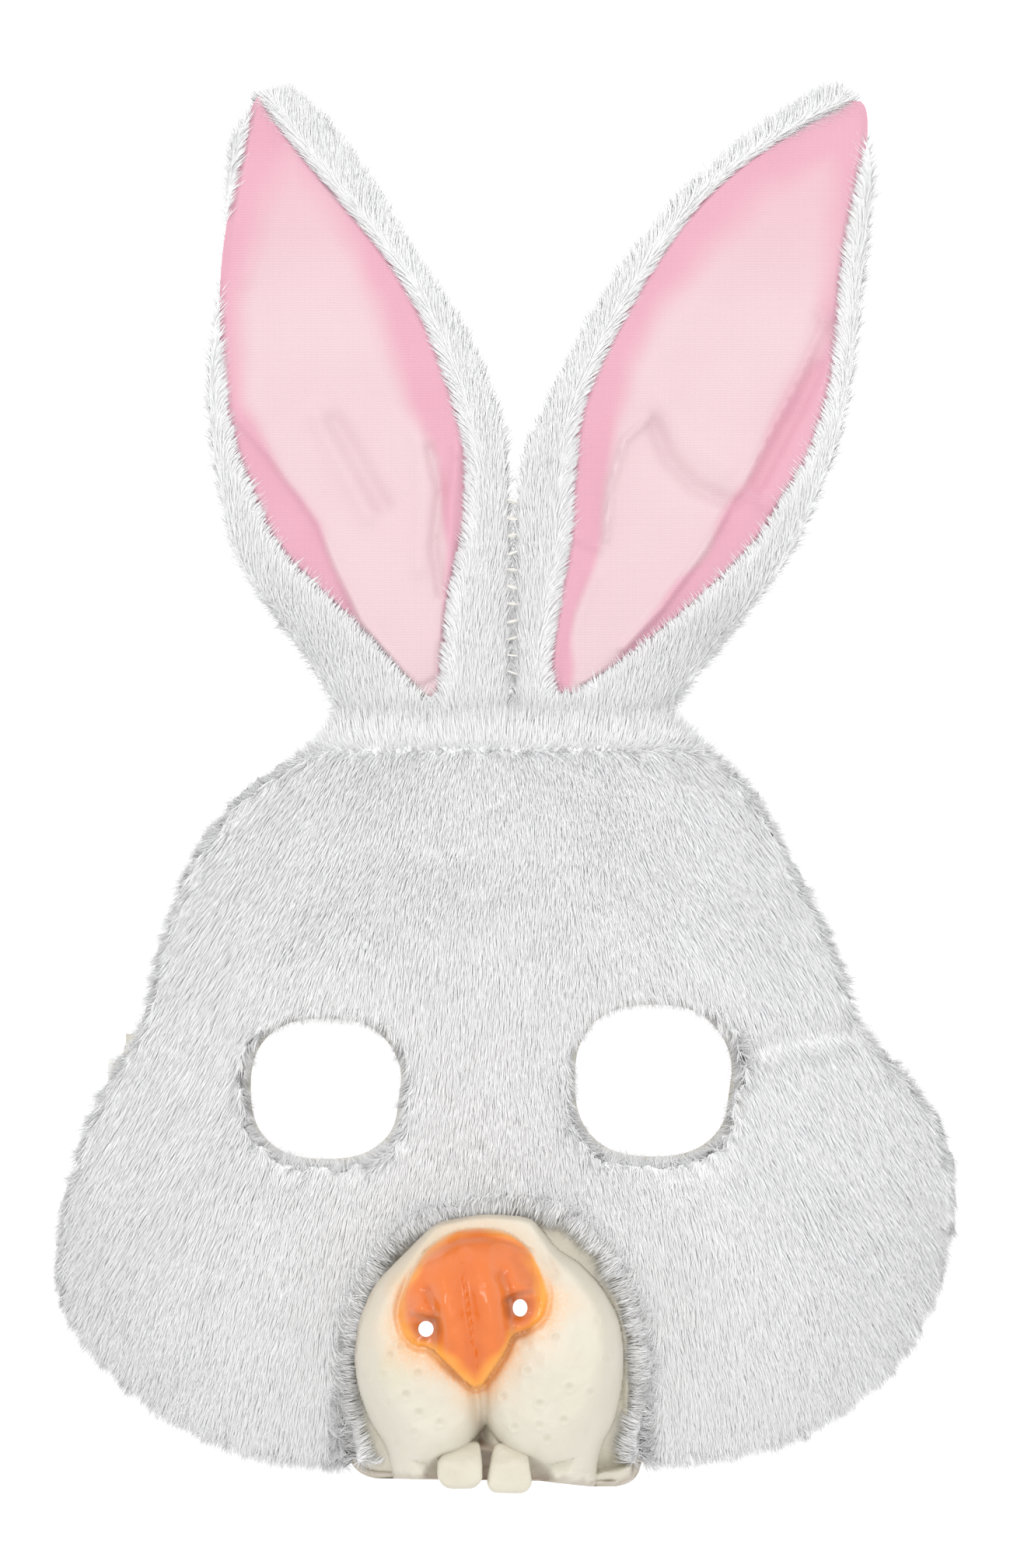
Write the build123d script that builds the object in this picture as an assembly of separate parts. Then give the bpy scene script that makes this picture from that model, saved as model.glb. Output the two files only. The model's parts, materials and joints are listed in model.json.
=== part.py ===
from build123d import *
from math import cos, exp, pi, radians, sin, tan
import os

os.makedirs("parts", exist_ok=True)

# A plush rabbit half mask. Millimetres, +Z up, the face looks along -Y.
# The origin is on the inside of the shell, on the bridge between the eye holes.

# Face shell and plush
SHELL_THICK = 2.2
PLUSH_THICK = 5.0
SHELL_INSET = 2.5
FACE_HALF_WIDTH = 115.0
FACE_HALF_HEIGHT = 125.0
FACE_CENTRE_Z = -8.0
BOWL_DEPTH = 34.0
BOWL_TURN = 16.0
SURFACE_STEP = 7.5
SURFACE_TOLERANCE = 0.05
SKIN_SPAN = (-112.5, 112.5, -105.0, 90.0)
FACE_OUTLINE = [
    (-36, 79.7), (-47, 71), (-58, 63), (-68, 50), (-75, 30), (-80, 12), (-89, -4),
    (-94, -18), (-97.5, -34), (-94.5, -52), (-83, -65.5), (-66, -77), (-44, -83), (-20, -84.5),
    (14, -84.5), (38, -83), (62, -78.5), (80, -68), (91, -55), (97.5, -40), (100, -24),
    (95, -5), (84, 8), (78, 17), (74, 30), (66, 46), (57, 63), (49, 71.5), (36.7, 79.7),
]

# Relief of the face: centre along X and Z, half widths, and height towards the front.
# The last three stand on both sides.
SNOUT_HILL = (-2.0, -58.0, 34.0, 36.0, 10.0)
CHEEK_HILL = (62.0, -46.0, 30.0, 32.0, 8.0)
BROW_HILL = (37.0, 27.0, 26.0, 14.0, 3.0)
EYE_HOLLOW = (36.0, 0.0, 20.0, 18.0, -3.0)

# Eye holes: centre, width and height of each
EYE_HOLES = {"left": (-38.4, -0.9, 32.9, 30.9), "right": (33.6, 0.9, 34.3, 33.4)}
EYE_SQUARENESS = 2.5
EYE_RIM = 1.0

# Muzzle: each form is a soft dome at (x, z) with its half widths, and its height off the flange.
# The cavity is a cone: depth and radius at its back and at its front.
FLANGE_THICK = 2.0
FLANGE_GAP = 0.3
FLANGE_OUTLINE = [
    (-4, -26.5), (14, -29), (25, -40), (30.5, -56), (31, -74), (29.5, -87), (17, -88.3),
    (4, -86.7), (-14, -86.5), (-32, -84.5), (-34, -72), (-32, -52), (-22, -33),
]
CAVITY_CENTRE = (-3.0, -57.0)
CAVITY_BACK = (22.0, 24.0)
CAVITY_FRONT = (-18.0, 14.0)
NOSTRILS = {"left": (-16.3, -53.3), "right": (4.5, -48.7)}
MUZZLE_FORMS = [
    (-2.5, -58.0, 27.0, 26.0, 18.0),
    (-4.5, -45.0, 19.0, 16.0, 25.0),
    (-16.5, -67.0, 14.5, 14.5, 27.0),
    (11.0, -66.5, 15.5, 15.0, 27.0),
    (-5.5, -55.0, 11.0, 14.0, 32.0),
    (*NOSTRILS["left"], 7.5, 7.5, 27.5),
    (*NOSTRILS["right"], 7.5, 7.5, 27.5),
]
MUZZLE_BLEND = 5
NOSTRIL_R = 1.7
MUZZLE_STEP = 2.5
MUZZLE_TOLERANCE = 0.3
MUZZLE_SPAN = (-40.0, 35.0, -97.5, -22.5)
CHIN_INSET = 1.2

# Teeth: centre along X, lowest point, lean in degrees
TEETH = {"left": (-8.7, -88.2, -3.0), "right": (2.2, -89.2, 2.0)}
TOOTH_WIDTH = 9.2
TOOTH_DEPTH = 6.0
TOOTH_HEIGHT = 15.0
TOOTH_FRONT_Y = -27.0
TOOTH_ROUND = 1.8

# Ears
EAR_FRONT_Y = 15.0
LINING_FRONT_Y = 17.0
LINING_THICK = 0.6
FOAM_THICK = 2.2
EAR_BACK_Y = 23.4
EAR_HINGE_Y = 19.2
LEAN_HINGE_Z = 80.0
SEAM_X = 2.7
SEAM_TOP_Z = 134.0
FOLD_TILT = 10.0
FREE_EDGE_GAP = 0.8
POCKET_CLEARANCE = 0.1
FOLD_FRONT = 40.0
FOLD_BACK = 30.0
LEAN_FRONT = 32.0
LEAN_BACK = 40.0
HINGE_GAP = 0.2
SHELL_TOP_GAP = 1.2
BEVEL_REACH = 60.0
EAR_OUTLINES = {
    "left": [
        (SEAM_X, 134), (1, 146.5), (-4, 160), (-20, 186), (-38, 212), (-50, 218.5), (-58, 212),
        (-62, 189), (-65.5, 158), (-64.5, 138), (-58, 113), (-49, 100), (-36, 79),
    ],
    "right": [
        (SEAM_X, 134), (8, 146.5), (16, 163), (38, 194), (62, 213.5), (76, 218.5), (82, 210),
        (82.5, 189), (79.5, 160), (75, 139), (64, 114.5), (50, 96), (36.7, 79),
    ],
}
LINING_OUTLINES = {
    "left": [
        (-51.5, 217), (-43, 205), (-21.5, 178), (-9.5, 151), (-6, 128), (-11, 104), (-14.5, 84),
        (-27, 95.5), (-50, 119), (-60, 145), (-62, 172), (-58, 203),
    ],
    "right": [
        (76.5, 216.5), (64, 210), (48, 198.5), (26, 168), (17, 147), (14.5, 120), (13.5, 86),
        (29, 94), (46, 108), (64, 129), (74, 157), (77.5, 188),
    ],
}

# Stitches that close the seam between the two ears
STITCH_R = 0.35
STITCH_SPAN = 4.0
STITCH_COUNT = 11
STITCH_LOW_Z = 91.0
STITCH_STEP = 3.7

# Head strap, its tabs and rivets
TAB_X = 83.5
TAB_THICK = 2.0
TAB_FOOT = 1.5
TAB_FOOT_REACH = 12.0
TAB_BACK_Y = 43.0
TAB_LENGTH = 30.0
TAB_ROUND = 6.0
TAB_LOW_Z = -8.0
TAB_TOPS = {"left": 11.0, "right": 7.0}
STRAP_Y = 35.0
STRAP_WIDTH = 10.0
STRAP_THICK = 1.2
STRAP_GAP = 0.3
STRAP_DROP = 73.0
STRAP_END = 6.0
STRAP_ROUND = 3.5
RIVET_Z = 2.0
RIVET_R = 1.5
RIVET_HEAD_R = 3.5
RIVET_HEAD = 1.0
RIVET_CLEARANCE = 0.05

FAR = 120.0


def hill(x, z, form, side=1):
    """Height at (x, z) of one soft hill, or of its mirror image where side is -1."""
    cx, cz, rx, rz, height = form
    return height * exp(-(((x - side * cx) / rx) ** 2) - ((z - cz) / rz) ** 2)


def face_y(x, z):
    """Depth of the shell's outer surface: a bowl with a snout, cheeks, brows and eye sockets."""
    s = (x / FACE_HALF_WIDTH) ** 2 + ((z - FACE_CENTRE_Z) / FACE_HALF_HEIGHT) ** 2
    y = BOWL_DEPTH * s + BOWL_TURN * s * s - SHELL_THICK
    y -= hill(x, z, SNOUT_HILL)
    for side in (-1, 1):
        for form in (CHEEK_HILL, BROW_HILL, EYE_HOLLOW):
            y -= hill(x, z, form, side)
    return y


def muzzle_y(x, z):
    """Depth of the muzzle's surface: the forms blended into one another over the flange."""
    total = 0.0
    for cx, cz, rx, rz, height in MUZZLE_FORMS:
        r = ((x - cx) / rx) ** 2 + ((z - cz) / rz) ** 2
        total += (height * (1 - 0.25 * min(r, 2)) * exp(-0.8 * r * r)) ** MUZZLE_BLEND
    return face_y(x, z) - FLANGE_THICK - total ** (1 / MUZZLE_BLEND)


def surface(depth, span, step, tolerance):
    """One spline face through depth(x, z) over a rectangle."""
    low_x, high_x, low_z, high_z = span
    columns = round((high_x - low_x) / step) + 1
    rows = round((high_z - low_z) / step) + 1
    points = []
    for i in range(columns):
        x = low_x + step * i
        points.append([Vector(x, depth(x, low_z + step * j), low_z + step * j) for j in range(rows)])
    return Face.make_surface_from_array_of_points(points, tol=tolerance)


SKIN = surface(face_y, SKIN_SPAN, SURFACE_STEP, SURFACE_TOLERANCE)
SNOUT = surface(muzzle_y, MUZZLE_SPAN, MUZZLE_STEP, MUZZLE_TOLERANCE)


def layer(offset, thick):
    """The slab that starts offset in front of the skin and is thick deep, measured along Y."""
    face = SKIN.moved(Location((0, -offset, 0)))
    return Solid.extrude(face, Vector(0, -thick, 0))


def prism(points, grow=0.0, low=-FAR, high=FAR):
    """A smooth closed outline in the XZ plane, run along Y. grow moves it out from its middle."""
    cx = sum(p[0] for p in points) / len(points)
    cz = sum(p[1] for p in points) / len(points)
    moved = []
    for x, z in points:
        reach = ((x - cx) ** 2 + (z - cz) ** 2) ** 0.5
        share = 1 + grow / reach
        moved.append((cx + (x - cx) * share, low, cz + (z - cz) * share))
    face = Face(Wire([Edge.make_spline(moved, periodic=True)]))
    return Solid.extrude(face, Vector(0, high - low, 0))


def cornered_prism(points, low=-FAR, high=FAR):
    """An outline that is smooth except between its last and first points, which a line joins."""
    at = [(x, low, z) for x, z in points]
    face = Face(Wire([Edge.make_spline(at), Edge.make_line(at[-1], at[0])]))
    return Solid.extrude(face, Vector(0, high - low, 0))


def eye_prism(side, grow):
    """A hole with slightly flattened sides."""
    cx, cz, width, height = EYE_HOLES[side]
    points = []
    for i in range(12):
        a = pi * i / 6
        c = cos(a)
        s = sin(a)
        power = 2 / EYE_SQUARENESS
        x = abs(c) ** power * (1 if c >= 0 else -1) * (width / 2 + grow)
        z = abs(s) ** power * (1 if s >= 0 else -1) * (height / 2 + grow)
        points.append((cx + x, cz + z))
    return prism(points)


def rod_y(x, z, radius, low, high):
    """A round bar along Y."""
    plane = Plane(origin=(x, low, z), x_dir=(1, 0, 0), z_dir=(0, 1, 0))
    return extrude(plane * Circle(radius), high - low)


def rod_x(y, z, radius, low, high):
    """A round bar along X."""
    plane = Plane(origin=(low, y, z), x_dir=(0, 1, 0), z_dir=(1, 0, 0))
    return extrude(plane * Circle(radius), high - low)


def behind(face):
    """Everything behind a face, along +Y."""
    return Solid.extrude(face, Vector(0, FAR, 0))


def muzzle_cavity():
    """The hollow behind the muzzle: a cone along Y that also opens the shell."""
    (back_y, back_r), (front_y, front_r) = CAVITY_BACK, CAVITY_FRONT
    x, z = CAVITY_CENTRE
    plane = Plane(origin=(x, (back_y + front_y) / 2, z), x_dir=(1, 0, 0), z_dir=(0, -1, 0))
    return plane * Cone(back_r, front_r, back_y - front_y)


def make_face_shell():
    """The moulded base: a thin bowl with eye holes and a hole behind the muzzle."""
    outline = cornered_prism(FACE_OUTLINE)
    inner = prism(FACE_OUTLINE, -SHELL_INSET) & outline
    chin = prism(FLANGE_OUTLINE, -CHIN_INSET)
    top = Pos(0, 0, LEAN_HINGE_Z - SHELL_TOP_GAP + FAR / 2) * Box(2 * FAR, 2 * FAR, FAR)
    shell = (layer(-SHELL_THICK, SHELL_THICK) & (inner + chin)) - top
    for side in EYE_HOLES:
        shell -= eye_prism(side, 0.0)
    return shell - muzzle_cavity()


def make_face_plush():
    """The plush cover: a thicker layer on the shell, cut round the eyes and the muzzle."""
    plush = layer(0.0, PLUSH_THICK) & cornered_prism(FACE_OUTLINE)
    for side in EYE_HOLES:
        plush -= eye_prism(side, EYE_RIM)
    return plush - prism(FLANGE_OUTLINE, FLANGE_GAP)


def make_muzzle():
    """The moulded snout: bridge, two pads, nose and nostril wings on a glued flange."""
    snout = behind(SNOUT) & layer(0.0, FAR) & prism(FLANGE_OUTLINE)
    snout -= muzzle_cavity()
    for x, z in NOSTRILS.values():
        snout -= rod_y(x, z, NOSTRIL_R, -FAR, FAR)
    return snout


def make_tooth(side):
    """One front tooth, a rounded block that stands against the underside of the lip."""
    cx, low, lean = TEETH[side]
    block = Box(TOOTH_WIDTH, TOOTH_DEPTH, TOOTH_HEIGHT)
    block = fillet(block.edges().filter_by(Axis.Z), TOOTH_ROUND)
    block = fillet(block.faces().sort_by(Axis.Z)[0].edges(), TOOTH_ROUND)
    middle = (cx, TOOTH_FRONT_Y + TOOTH_DEPTH / 2, low + TOOTH_HEIGHT / 2)
    return (Pos(*middle) * Rot(0, lean, 0) * block) - behind(SNOUT)


def ear_frame(side):
    """Plane at the fold of one ear: X along the fold, Z up the ear, Y to the back."""
    tilt = radians(FOLD_TILT) * (1 if side == "left" else -1)
    along = Vector(cos(tilt), 0, sin(tilt))
    up = along.cross(Vector(0, 1, 0))
    return Plane(origin=(SEAM_X, EAR_HINGE_Y, SEAM_TOP_Z), x_dir=along, z_dir=up)


def fold_half(side, upper):
    """The space above or below the fold, bevelled so that the ear can turn both ways."""
    frame = ear_frame(side)
    way = 1 if upper else -1
    corners = [
        (0, way * HINGE_GAP),
        (-BEVEL_REACH, way * (HINGE_GAP + BEVEL_REACH * tan(radians(FOLD_FRONT)))),
        (-BEVEL_REACH, way * 2 * FAR),
        (BEVEL_REACH, way * 2 * FAR),
        (BEVEL_REACH, way * (HINGE_GAP + BEVEL_REACH * tan(radians(FOLD_BACK)))),
    ]
    at = [frame.from_local_coords(Vector(-FAR, y, w)) for y, w in corners]
    face = Face(Wire.make_polygon(at, close=True))
    return Solid.extrude(face, frame.x_dir * 2 * FAR)


def lean_space():
    """The space above the ears' base line, bevelled for the lean."""
    corners = [
        (0, HINGE_GAP),
        (-BEVEL_REACH, HINGE_GAP + BEVEL_REACH * tan(radians(LEAN_FRONT))),
        (-BEVEL_REACH, 2 * FAR),
        (BEVEL_REACH, 2 * FAR),
        (BEVEL_REACH, HINGE_GAP + BEVEL_REACH * tan(radians(LEAN_BACK))),
    ]
    at = [Vector(-FAR, EAR_HINGE_Y + y, LEAN_HINGE_Z + w) for y, w in corners]
    return Solid.extrude(Face(Wire.make_polygon(at, close=True)), Vector(2 * FAR, 0, 0))


def side_space(side, gap=0.0):
    """Everything on one ear's side of the seam, gap clear of it."""
    way = -1 if side == "left" else 1
    return Pos(SEAM_X + way * (gap + FAR / 2), 0, FAR) * Box(FAR, FAR, 3 * FAR)


def ear_prism(side, low, high):
    """One ear's outline: the free edge is a spline, the base and the seam are straight."""
    at = [(x, low, z) for x, z in EAR_OUTLINES[side]]
    foot = (SEAM_X, low, EAR_OUTLINES[side][-1][1])
    wire = Wire([Edge.make_spline(at), Edge.make_line(at[-1], foot), Edge.make_line(foot, at[0])])
    return Solid.extrude(Face(wire), Vector(0, high - low, 0)) & side_space(side)


def lining_prism(side, low, high, grow=0.0):
    """One lining's outline, pointed at the tip and at the base."""
    return prism(LINING_OUTLINES[side], grow, low, high)


def make_ear(side):
    """The plush, lining and foam of one ear, each cut at the fold into a lower and an upper solid."""
    foam_y = LINING_FRONT_Y + LINING_THICK
    plush_y = foam_y + FOAM_THICK
    pocket = lining_prism(side, EAR_FRONT_Y - FAR, plush_y, POCKET_CLEARANCE)
    whole = {
        "plush": ear_prism(side, EAR_FRONT_Y, EAR_BACK_Y) - pocket,
        "lining": lining_prism(side, LINING_FRONT_Y, foam_y) & side_space(side),
        "foam": lining_prism(side, foam_y, plush_y) & side_space(side),
    }
    base = lean_space()
    pieces = {}
    for name, solid in whole.items():
        pieces[f"ear_{name}_lower_{side}"] = solid & fold_half(side, False) & base
        upper = solid & fold_half(side, True)
        pieces[f"ear_{name}_upper_{side}"] = upper & side_space(side, FREE_EDGE_GAP)
    return pieces


def make_stitches():
    """Short thread loops that hold the ears' inner edges together, standing on the plush."""
    low = SEAM_X - STITCH_SPAN / 2
    thread = []
    for i in range(STITCH_COUNT):
        z = STITCH_LOW_Z + STITCH_STEP * i
        loop = rod_x(EAR_FRONT_Y - STITCH_R, z, STITCH_R, low, low + STITCH_SPAN)
        thread.append(loop.solid())
    return Compound(children=thread)


def make_tab(side):
    """A latex tab: a foot glued inside the shell and a tongue that runs back to the rivet."""
    way = -1 if side == "left" else 1
    top = TAB_TOPS[side]
    height = top - TAB_LOW_Z
    middle = (top + TAB_LOW_Z) / 2
    foot_x = way * (TAB_X + TAB_THICK - TAB_FOOT_REACH / 2)
    foot_box = Pos(foot_x, 0, middle) * Box(TAB_FOOT_REACH, 2 * FAR, height)
    foot = layer(-SHELL_THICK - TAB_FOOT, TAB_FOOT) & foot_box
    tongue_at = Pos(way * (TAB_X + TAB_THICK / 2), TAB_BACK_Y - TAB_LENGTH / 2, middle)
    tongue = tongue_at * Box(TAB_THICK, TAB_LENGTH, height)
    back = tongue.faces().sort_by(Axis.Y)[-1].edges().filter_by(Axis.X)
    tongue = fillet(back, TAB_ROUND)
    tab = foot + (tongue & behind(SKIN.moved(Location((0, SHELL_THICK, 0)))))
    return tab - rod_x(STRAP_Y, RIVET_Z, RIVET_R, -FAR, FAR)


def make_rivet(side):
    """A round rivet along X: shank, an outer head on the tab and an inner head over the strap."""
    way = -1 if side == "left" else 1
    outer = TAB_X + TAB_THICK
    inner = TAB_X - STRAP_THICK - 2 * STRAP_GAP
    spans = [
        (RIVET_R, inner, outer),
        (RIVET_HEAD_R, outer, outer + RIVET_HEAD),
        (RIVET_HEAD_R, inner - RIVET_HEAD, inner),
    ]
    rivet = None
    for radius, near, far in spans:
        low = min(way * near, way * far)
        high = max(way * near, way * far)
        part = rod_x(STRAP_Y, RIVET_Z, radius, low, high)
        rivet = part if rivet is None else rivet + part
    return rivet


def make_strap():
    """A flat elastic band that hangs in half an ellipse between its two rivets."""
    reach = TAB_X - STRAP_GAP - STRAP_THICK / 2
    flat = Plane(origin=(0, STRAP_Y + STRAP_WIDTH / 2, RIVET_Z), x_dir=(1, 0, 0), z_dir=(0, -1, 0))
    half = STRAP_THICK / 2
    ring = Ellipse(reach + half, STRAP_DROP + half) - Ellipse(reach - half, STRAP_DROP - half)
    hanging = ring & (Pos(0, -FAR / 2) * Rectangle(2 * FAR, FAR))
    strap = extrude(flat * hanging, STRAP_WIDTH)
    for way in (-1, 1):
        end = Pos(way * reach, STRAP_Y, RIVET_Z + STRAP_END / 2) * Box(STRAP_THICK, STRAP_WIDTH, STRAP_END)
        corners = end.faces().sort_by(Axis.Z)[-1].edges().filter_by(Axis.X)
        strap += fillet(corners, STRAP_ROUND)
    return strap - rod_x(STRAP_Y, RIVET_Z, RIVET_R + RIVET_CLEARANCE, -FAR, FAR)


nodes = {
    "face_shell": make_face_shell(),
    "face_plush": make_face_plush(),
    "muzzle": make_muzzle(),
    "ear_seam_stitches": make_stitches(),
    "elastic_strap": make_strap(),
}
for side in ("left", "right"):
    nodes[f"tooth_{side}"] = make_tooth(side)
    nodes[f"strap_tab_{side}"] = make_tab(side)
    nodes[f"strap_rivet_{side}"] = make_rivet(side)
    nodes.update(make_ear(side))

for name, shape in nodes.items():
    export_step(shape, f"parts/{name}.step")
    print(name, [round(v, 2) for v in (*shape.bounding_box().min, *shape.bounding_box().max)])
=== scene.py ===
# %% [markdown]
# # A plush rabbit half mask
# The mask is a thin moulded latex bowl with fake fur glued over it, a glued-on latex snout, and two
# fur ears lined with pink satin. The frame already holds every part's place and every joint, so this
# lesson only adds the looks: pile, satin, latex, paint, thread and elastic.

# %% Load the frame
import json
import math

import bpy
import numpy as np
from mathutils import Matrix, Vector


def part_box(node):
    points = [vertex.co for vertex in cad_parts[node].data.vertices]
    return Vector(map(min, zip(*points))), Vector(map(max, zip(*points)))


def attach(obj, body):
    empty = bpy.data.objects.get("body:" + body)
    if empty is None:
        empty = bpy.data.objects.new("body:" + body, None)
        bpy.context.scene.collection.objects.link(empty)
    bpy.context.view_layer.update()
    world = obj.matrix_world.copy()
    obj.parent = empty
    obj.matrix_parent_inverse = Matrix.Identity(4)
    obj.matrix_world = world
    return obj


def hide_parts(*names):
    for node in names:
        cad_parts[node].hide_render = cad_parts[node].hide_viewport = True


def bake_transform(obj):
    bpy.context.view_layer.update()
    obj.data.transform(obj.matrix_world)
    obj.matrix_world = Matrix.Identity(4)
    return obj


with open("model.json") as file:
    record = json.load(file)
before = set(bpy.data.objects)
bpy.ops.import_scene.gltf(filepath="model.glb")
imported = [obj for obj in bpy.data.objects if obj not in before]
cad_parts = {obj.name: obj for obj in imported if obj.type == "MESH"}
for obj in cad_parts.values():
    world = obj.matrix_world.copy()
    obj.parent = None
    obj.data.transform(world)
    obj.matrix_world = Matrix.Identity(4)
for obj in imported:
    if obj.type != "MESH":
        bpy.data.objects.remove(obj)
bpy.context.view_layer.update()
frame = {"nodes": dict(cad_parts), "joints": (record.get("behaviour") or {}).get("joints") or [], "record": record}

MM = 0.001
node = frame["nodes"]
print("parts in the frame:", len(node))

# %% [markdown]
# ## Helpers
# Each edit starts from a clean selection, because an operator acts on all that is selected. Long runs
# of points, such as thousands of hairs, are worked out as arrays, because one call per hair would be slow.

# %% Small helpers
def only(piece):
    """Selects one piece and makes it active."""
    bpy.ops.object.select_all(action="DESELECT")
    piece.hide_set(False)
    piece.select_set(True)
    bpy.context.view_layer.objects.active = piece
    return piece


def apply_all(piece):
    """Applies the piece's modifiers in their order."""
    only(piece)
    for name in [m.name for m in piece.modifiers]:
        bpy.ops.object.modifier_apply(modifier=name)


def mesh_piece(name, points, faces, smooth=True):
    """A new piece from arrays of points, in millimetres, and of faces with one number of corners."""
    mesh = bpy.data.meshes.new(name)
    points = np.asarray(points, float) * MM
    faces = np.asarray(faces, np.int32)
    corners = faces.shape[1]
    mesh.vertices.add(len(points))
    mesh.vertices.foreach_set("co", points.astype(np.float32).ravel())
    mesh.loops.add(faces.size)
    mesh.loops.foreach_set("vertex_index", faces.ravel())
    mesh.polygons.add(len(faces))
    mesh.polygons.foreach_set("loop_start", np.arange(0, faces.size, corners, dtype=np.int32))
    mesh.update(calc_edges=True)
    mesh.polygons.foreach_set("use_smooth", np.full(len(faces), smooth))
    piece = bpy.data.objects.new(name, mesh)
    bpy.context.scene.collection.objects.link(piece)
    return piece


def points_of(piece):
    """A mesh's points as an array, in millimetres."""
    flat = np.zeros(len(piece.data.vertices) * 3, np.float32)
    piece.data.vertices.foreach_get("co", flat)
    return flat.reshape(-1, 3).astype(float) / MM


def set_points(piece, points):
    """Moves a mesh's points to an array, in millimetres."""
    piece.data.vertices.foreach_set("co", (points * MM).astype(np.float32).ravel())
    piece.data.update()


def normals_of(piece):
    """The normal at each point of a mesh."""
    flat = np.zeros(len(piece.data.vertices) * 3, np.float32)
    piece.data.vertices.foreach_get("normal", flat)
    return flat.reshape(-1, 3).astype(float)


def triangles_of(piece):
    """A mesh's triangles as rows of three point numbers."""
    mesh = piece.data
    mesh.calc_loop_triangles()
    flat = np.zeros(len(mesh.loop_triangles) * 3, np.int32)
    mesh.loop_triangles.foreach_get("vertices", flat)
    return flat.reshape(-1, 3)


def unit(vectors):
    """Vectors at length 1."""
    return vectors / np.maximum(np.linalg.norm(vectors, axis=1, keepdims=True), 1e-9)


def smoothstep(value, low, high):
    """0 below low, 1 above high and a smooth turn between them."""
    t = np.clip((value - low) / (high - low), 0, 1)
    return t * t * (3 - 2 * t)


def close_ends(piece):
    """Fills the open ends of a mesh and turns all its faces outwards."""
    only(piece)
    bpy.ops.object.mode_set(mode="EDIT")
    bpy.ops.mesh.select_all(action="SELECT")
    bpy.ops.mesh.fill_holes(sides=0)
    bpy.ops.mesh.select_all(action="SELECT")
    bpy.ops.mesh.normals_make_consistent(inside=False)
    bpy.ops.object.mode_set(mode="OBJECT")


def delete_points(piece, gone):
    """Takes away the points of a mesh that gone marks."""
    only(piece)
    bpy.ops.object.mode_set(mode="EDIT")
    bpy.ops.mesh.select_mode(type="VERT")
    bpy.ops.mesh.select_all(action="DESELECT")
    bpy.ops.object.mode_set(mode="OBJECT")
    piece.data.vertices.foreach_set("select", gone)
    bpy.ops.object.mode_set(mode="EDIT")
    bpy.ops.mesh.delete(type="VERT")
    bpy.ops.object.mode_set(mode="OBJECT")


def grid_piece(name, columns, rows):
    """A flat grid, and its points from -1 to 1 across and along."""
    only(floor)
    bpy.ops.mesh.primitive_grid_add(x_subdivisions=columns, y_subdivisions=rows, size=2)
    piece = bpy.context.object
    piece.name = piece.data.name = name
    return piece, points_of(piece) * MM


def thicken(piece, millimetres, offset):
    """Gives a flat piece its thickness."""
    wall = piece.modifiers.new("thickness", "SOLIDIFY")
    wall.thickness = millimetres * MM
    wall.offset = offset
    apply_all(piece)


def soften(piece, rounds):
    """Evens out a mesh by averaging each point with its neighbours."""
    smoother = piece.modifiers.new("soften", "SMOOTH")
    smoother.iterations = rounds
    apply_all(piece)


def map_cloth(piece, places):
    """Gives a piece a map from the place of each point on its cloth, in millimetres."""
    corners = np.zeros(len(piece.data.loops), np.int32)
    piece.data.loops.foreach_get("vertex_index", corners)
    cloth = piece.data.uv_layers[0] if piece.data.uv_layers else piece.data.uv_layers.new(name="cloth")
    cloth.data.foreach_set("uv", places[corners].astype(np.float32).ravel())


LATTICE = np.random.default_rng(7).uniform(-1, 1, (32, 32, 32, 3))


def drift(points, size):
    """Smooth random vectors that change over about size millimetres."""
    at = np.asarray(points, float) / size
    whole = np.floor(at).astype(int)
    part = at - whole
    part = part * part * (3 - 2 * part)
    total = np.zeros((len(at), 3))
    for i in (0, 1):
        for j in (0, 1):
            for k in (0, 1):
                w = np.prod(np.where([i, j, k], part, 1 - part), axis=1)
                x, y, z = ((whole + (i, j, k)) % 32).T
                total += w[:, None] * LATTICE[x, y, z]
    return total


# %% [markdown]
# ## Camera, light and floor
# The mask is looked at straight from the front with a long lens, so its ears and cheeks keep their true
# proportions. White light from all round, and a wide soft lamp above, model white plush without hard shadows.

# %% Camera, light and floor
PICTURE_TALL = 345.7
PICTURE_CENTRE = (1.1, 66.1)
OUTLINE_Y = 20.0
CAMERA_AWAY = 8000.0
camera = bpy.data.objects.new("camera", bpy.data.cameras.new("camera"))
bpy.context.scene.collection.objects.link(camera)
camera.data.sensor_width = 36.0
camera.data.lens = camera.data.sensor_width * CAMERA_AWAY / PICTURE_TALL
camera.location = (PICTURE_CENTRE[0] * MM, (OUTLINE_Y - CAMERA_AWAY) * MM, PICTURE_CENTRE[1] * MM)
camera.rotation_euler = (math.pi / 2, 0, 0)
bpy.context.scene.camera = camera


def lamp(name, place, size, power):
    """A square soft lamp that points at the mask's middle."""
    light = bpy.data.lights.new(name, "AREA")
    light.size = size
    light.energy = power
    piece = bpy.data.objects.new(name, light)
    piece.location = place
    piece.rotation_euler = (Vector((0, 0, 0.05)) - Vector(place)).to_track_quat("-Z", "Y").to_euler()
    bpy.context.scene.collection.objects.link(piece)


lamp("key", (-0.4, -1.5, 0.9), 0.5, 6.5)
lamp("fill", (0.9, -1.2, 0.2), 0.8, 1.5)
world = bpy.data.worlds.new("studio")
world.use_nodes = True
world.node_tree.nodes["Background"].inputs["Color"].default_value = (1, 1, 1, 1)
world.node_tree.nodes["Background"].inputs["Strength"].default_value = 1.2
bpy.context.scene.world = world
bpy.context.scene.view_settings.view_transform = "Standard"
bpy.ops.object.select_all(action="DESELECT")
bpy.ops.mesh.primitive_plane_add(size=2.6, location=(0, 0, -0.32))
floor = bpy.context.object
floor.name = "floor"


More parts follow.
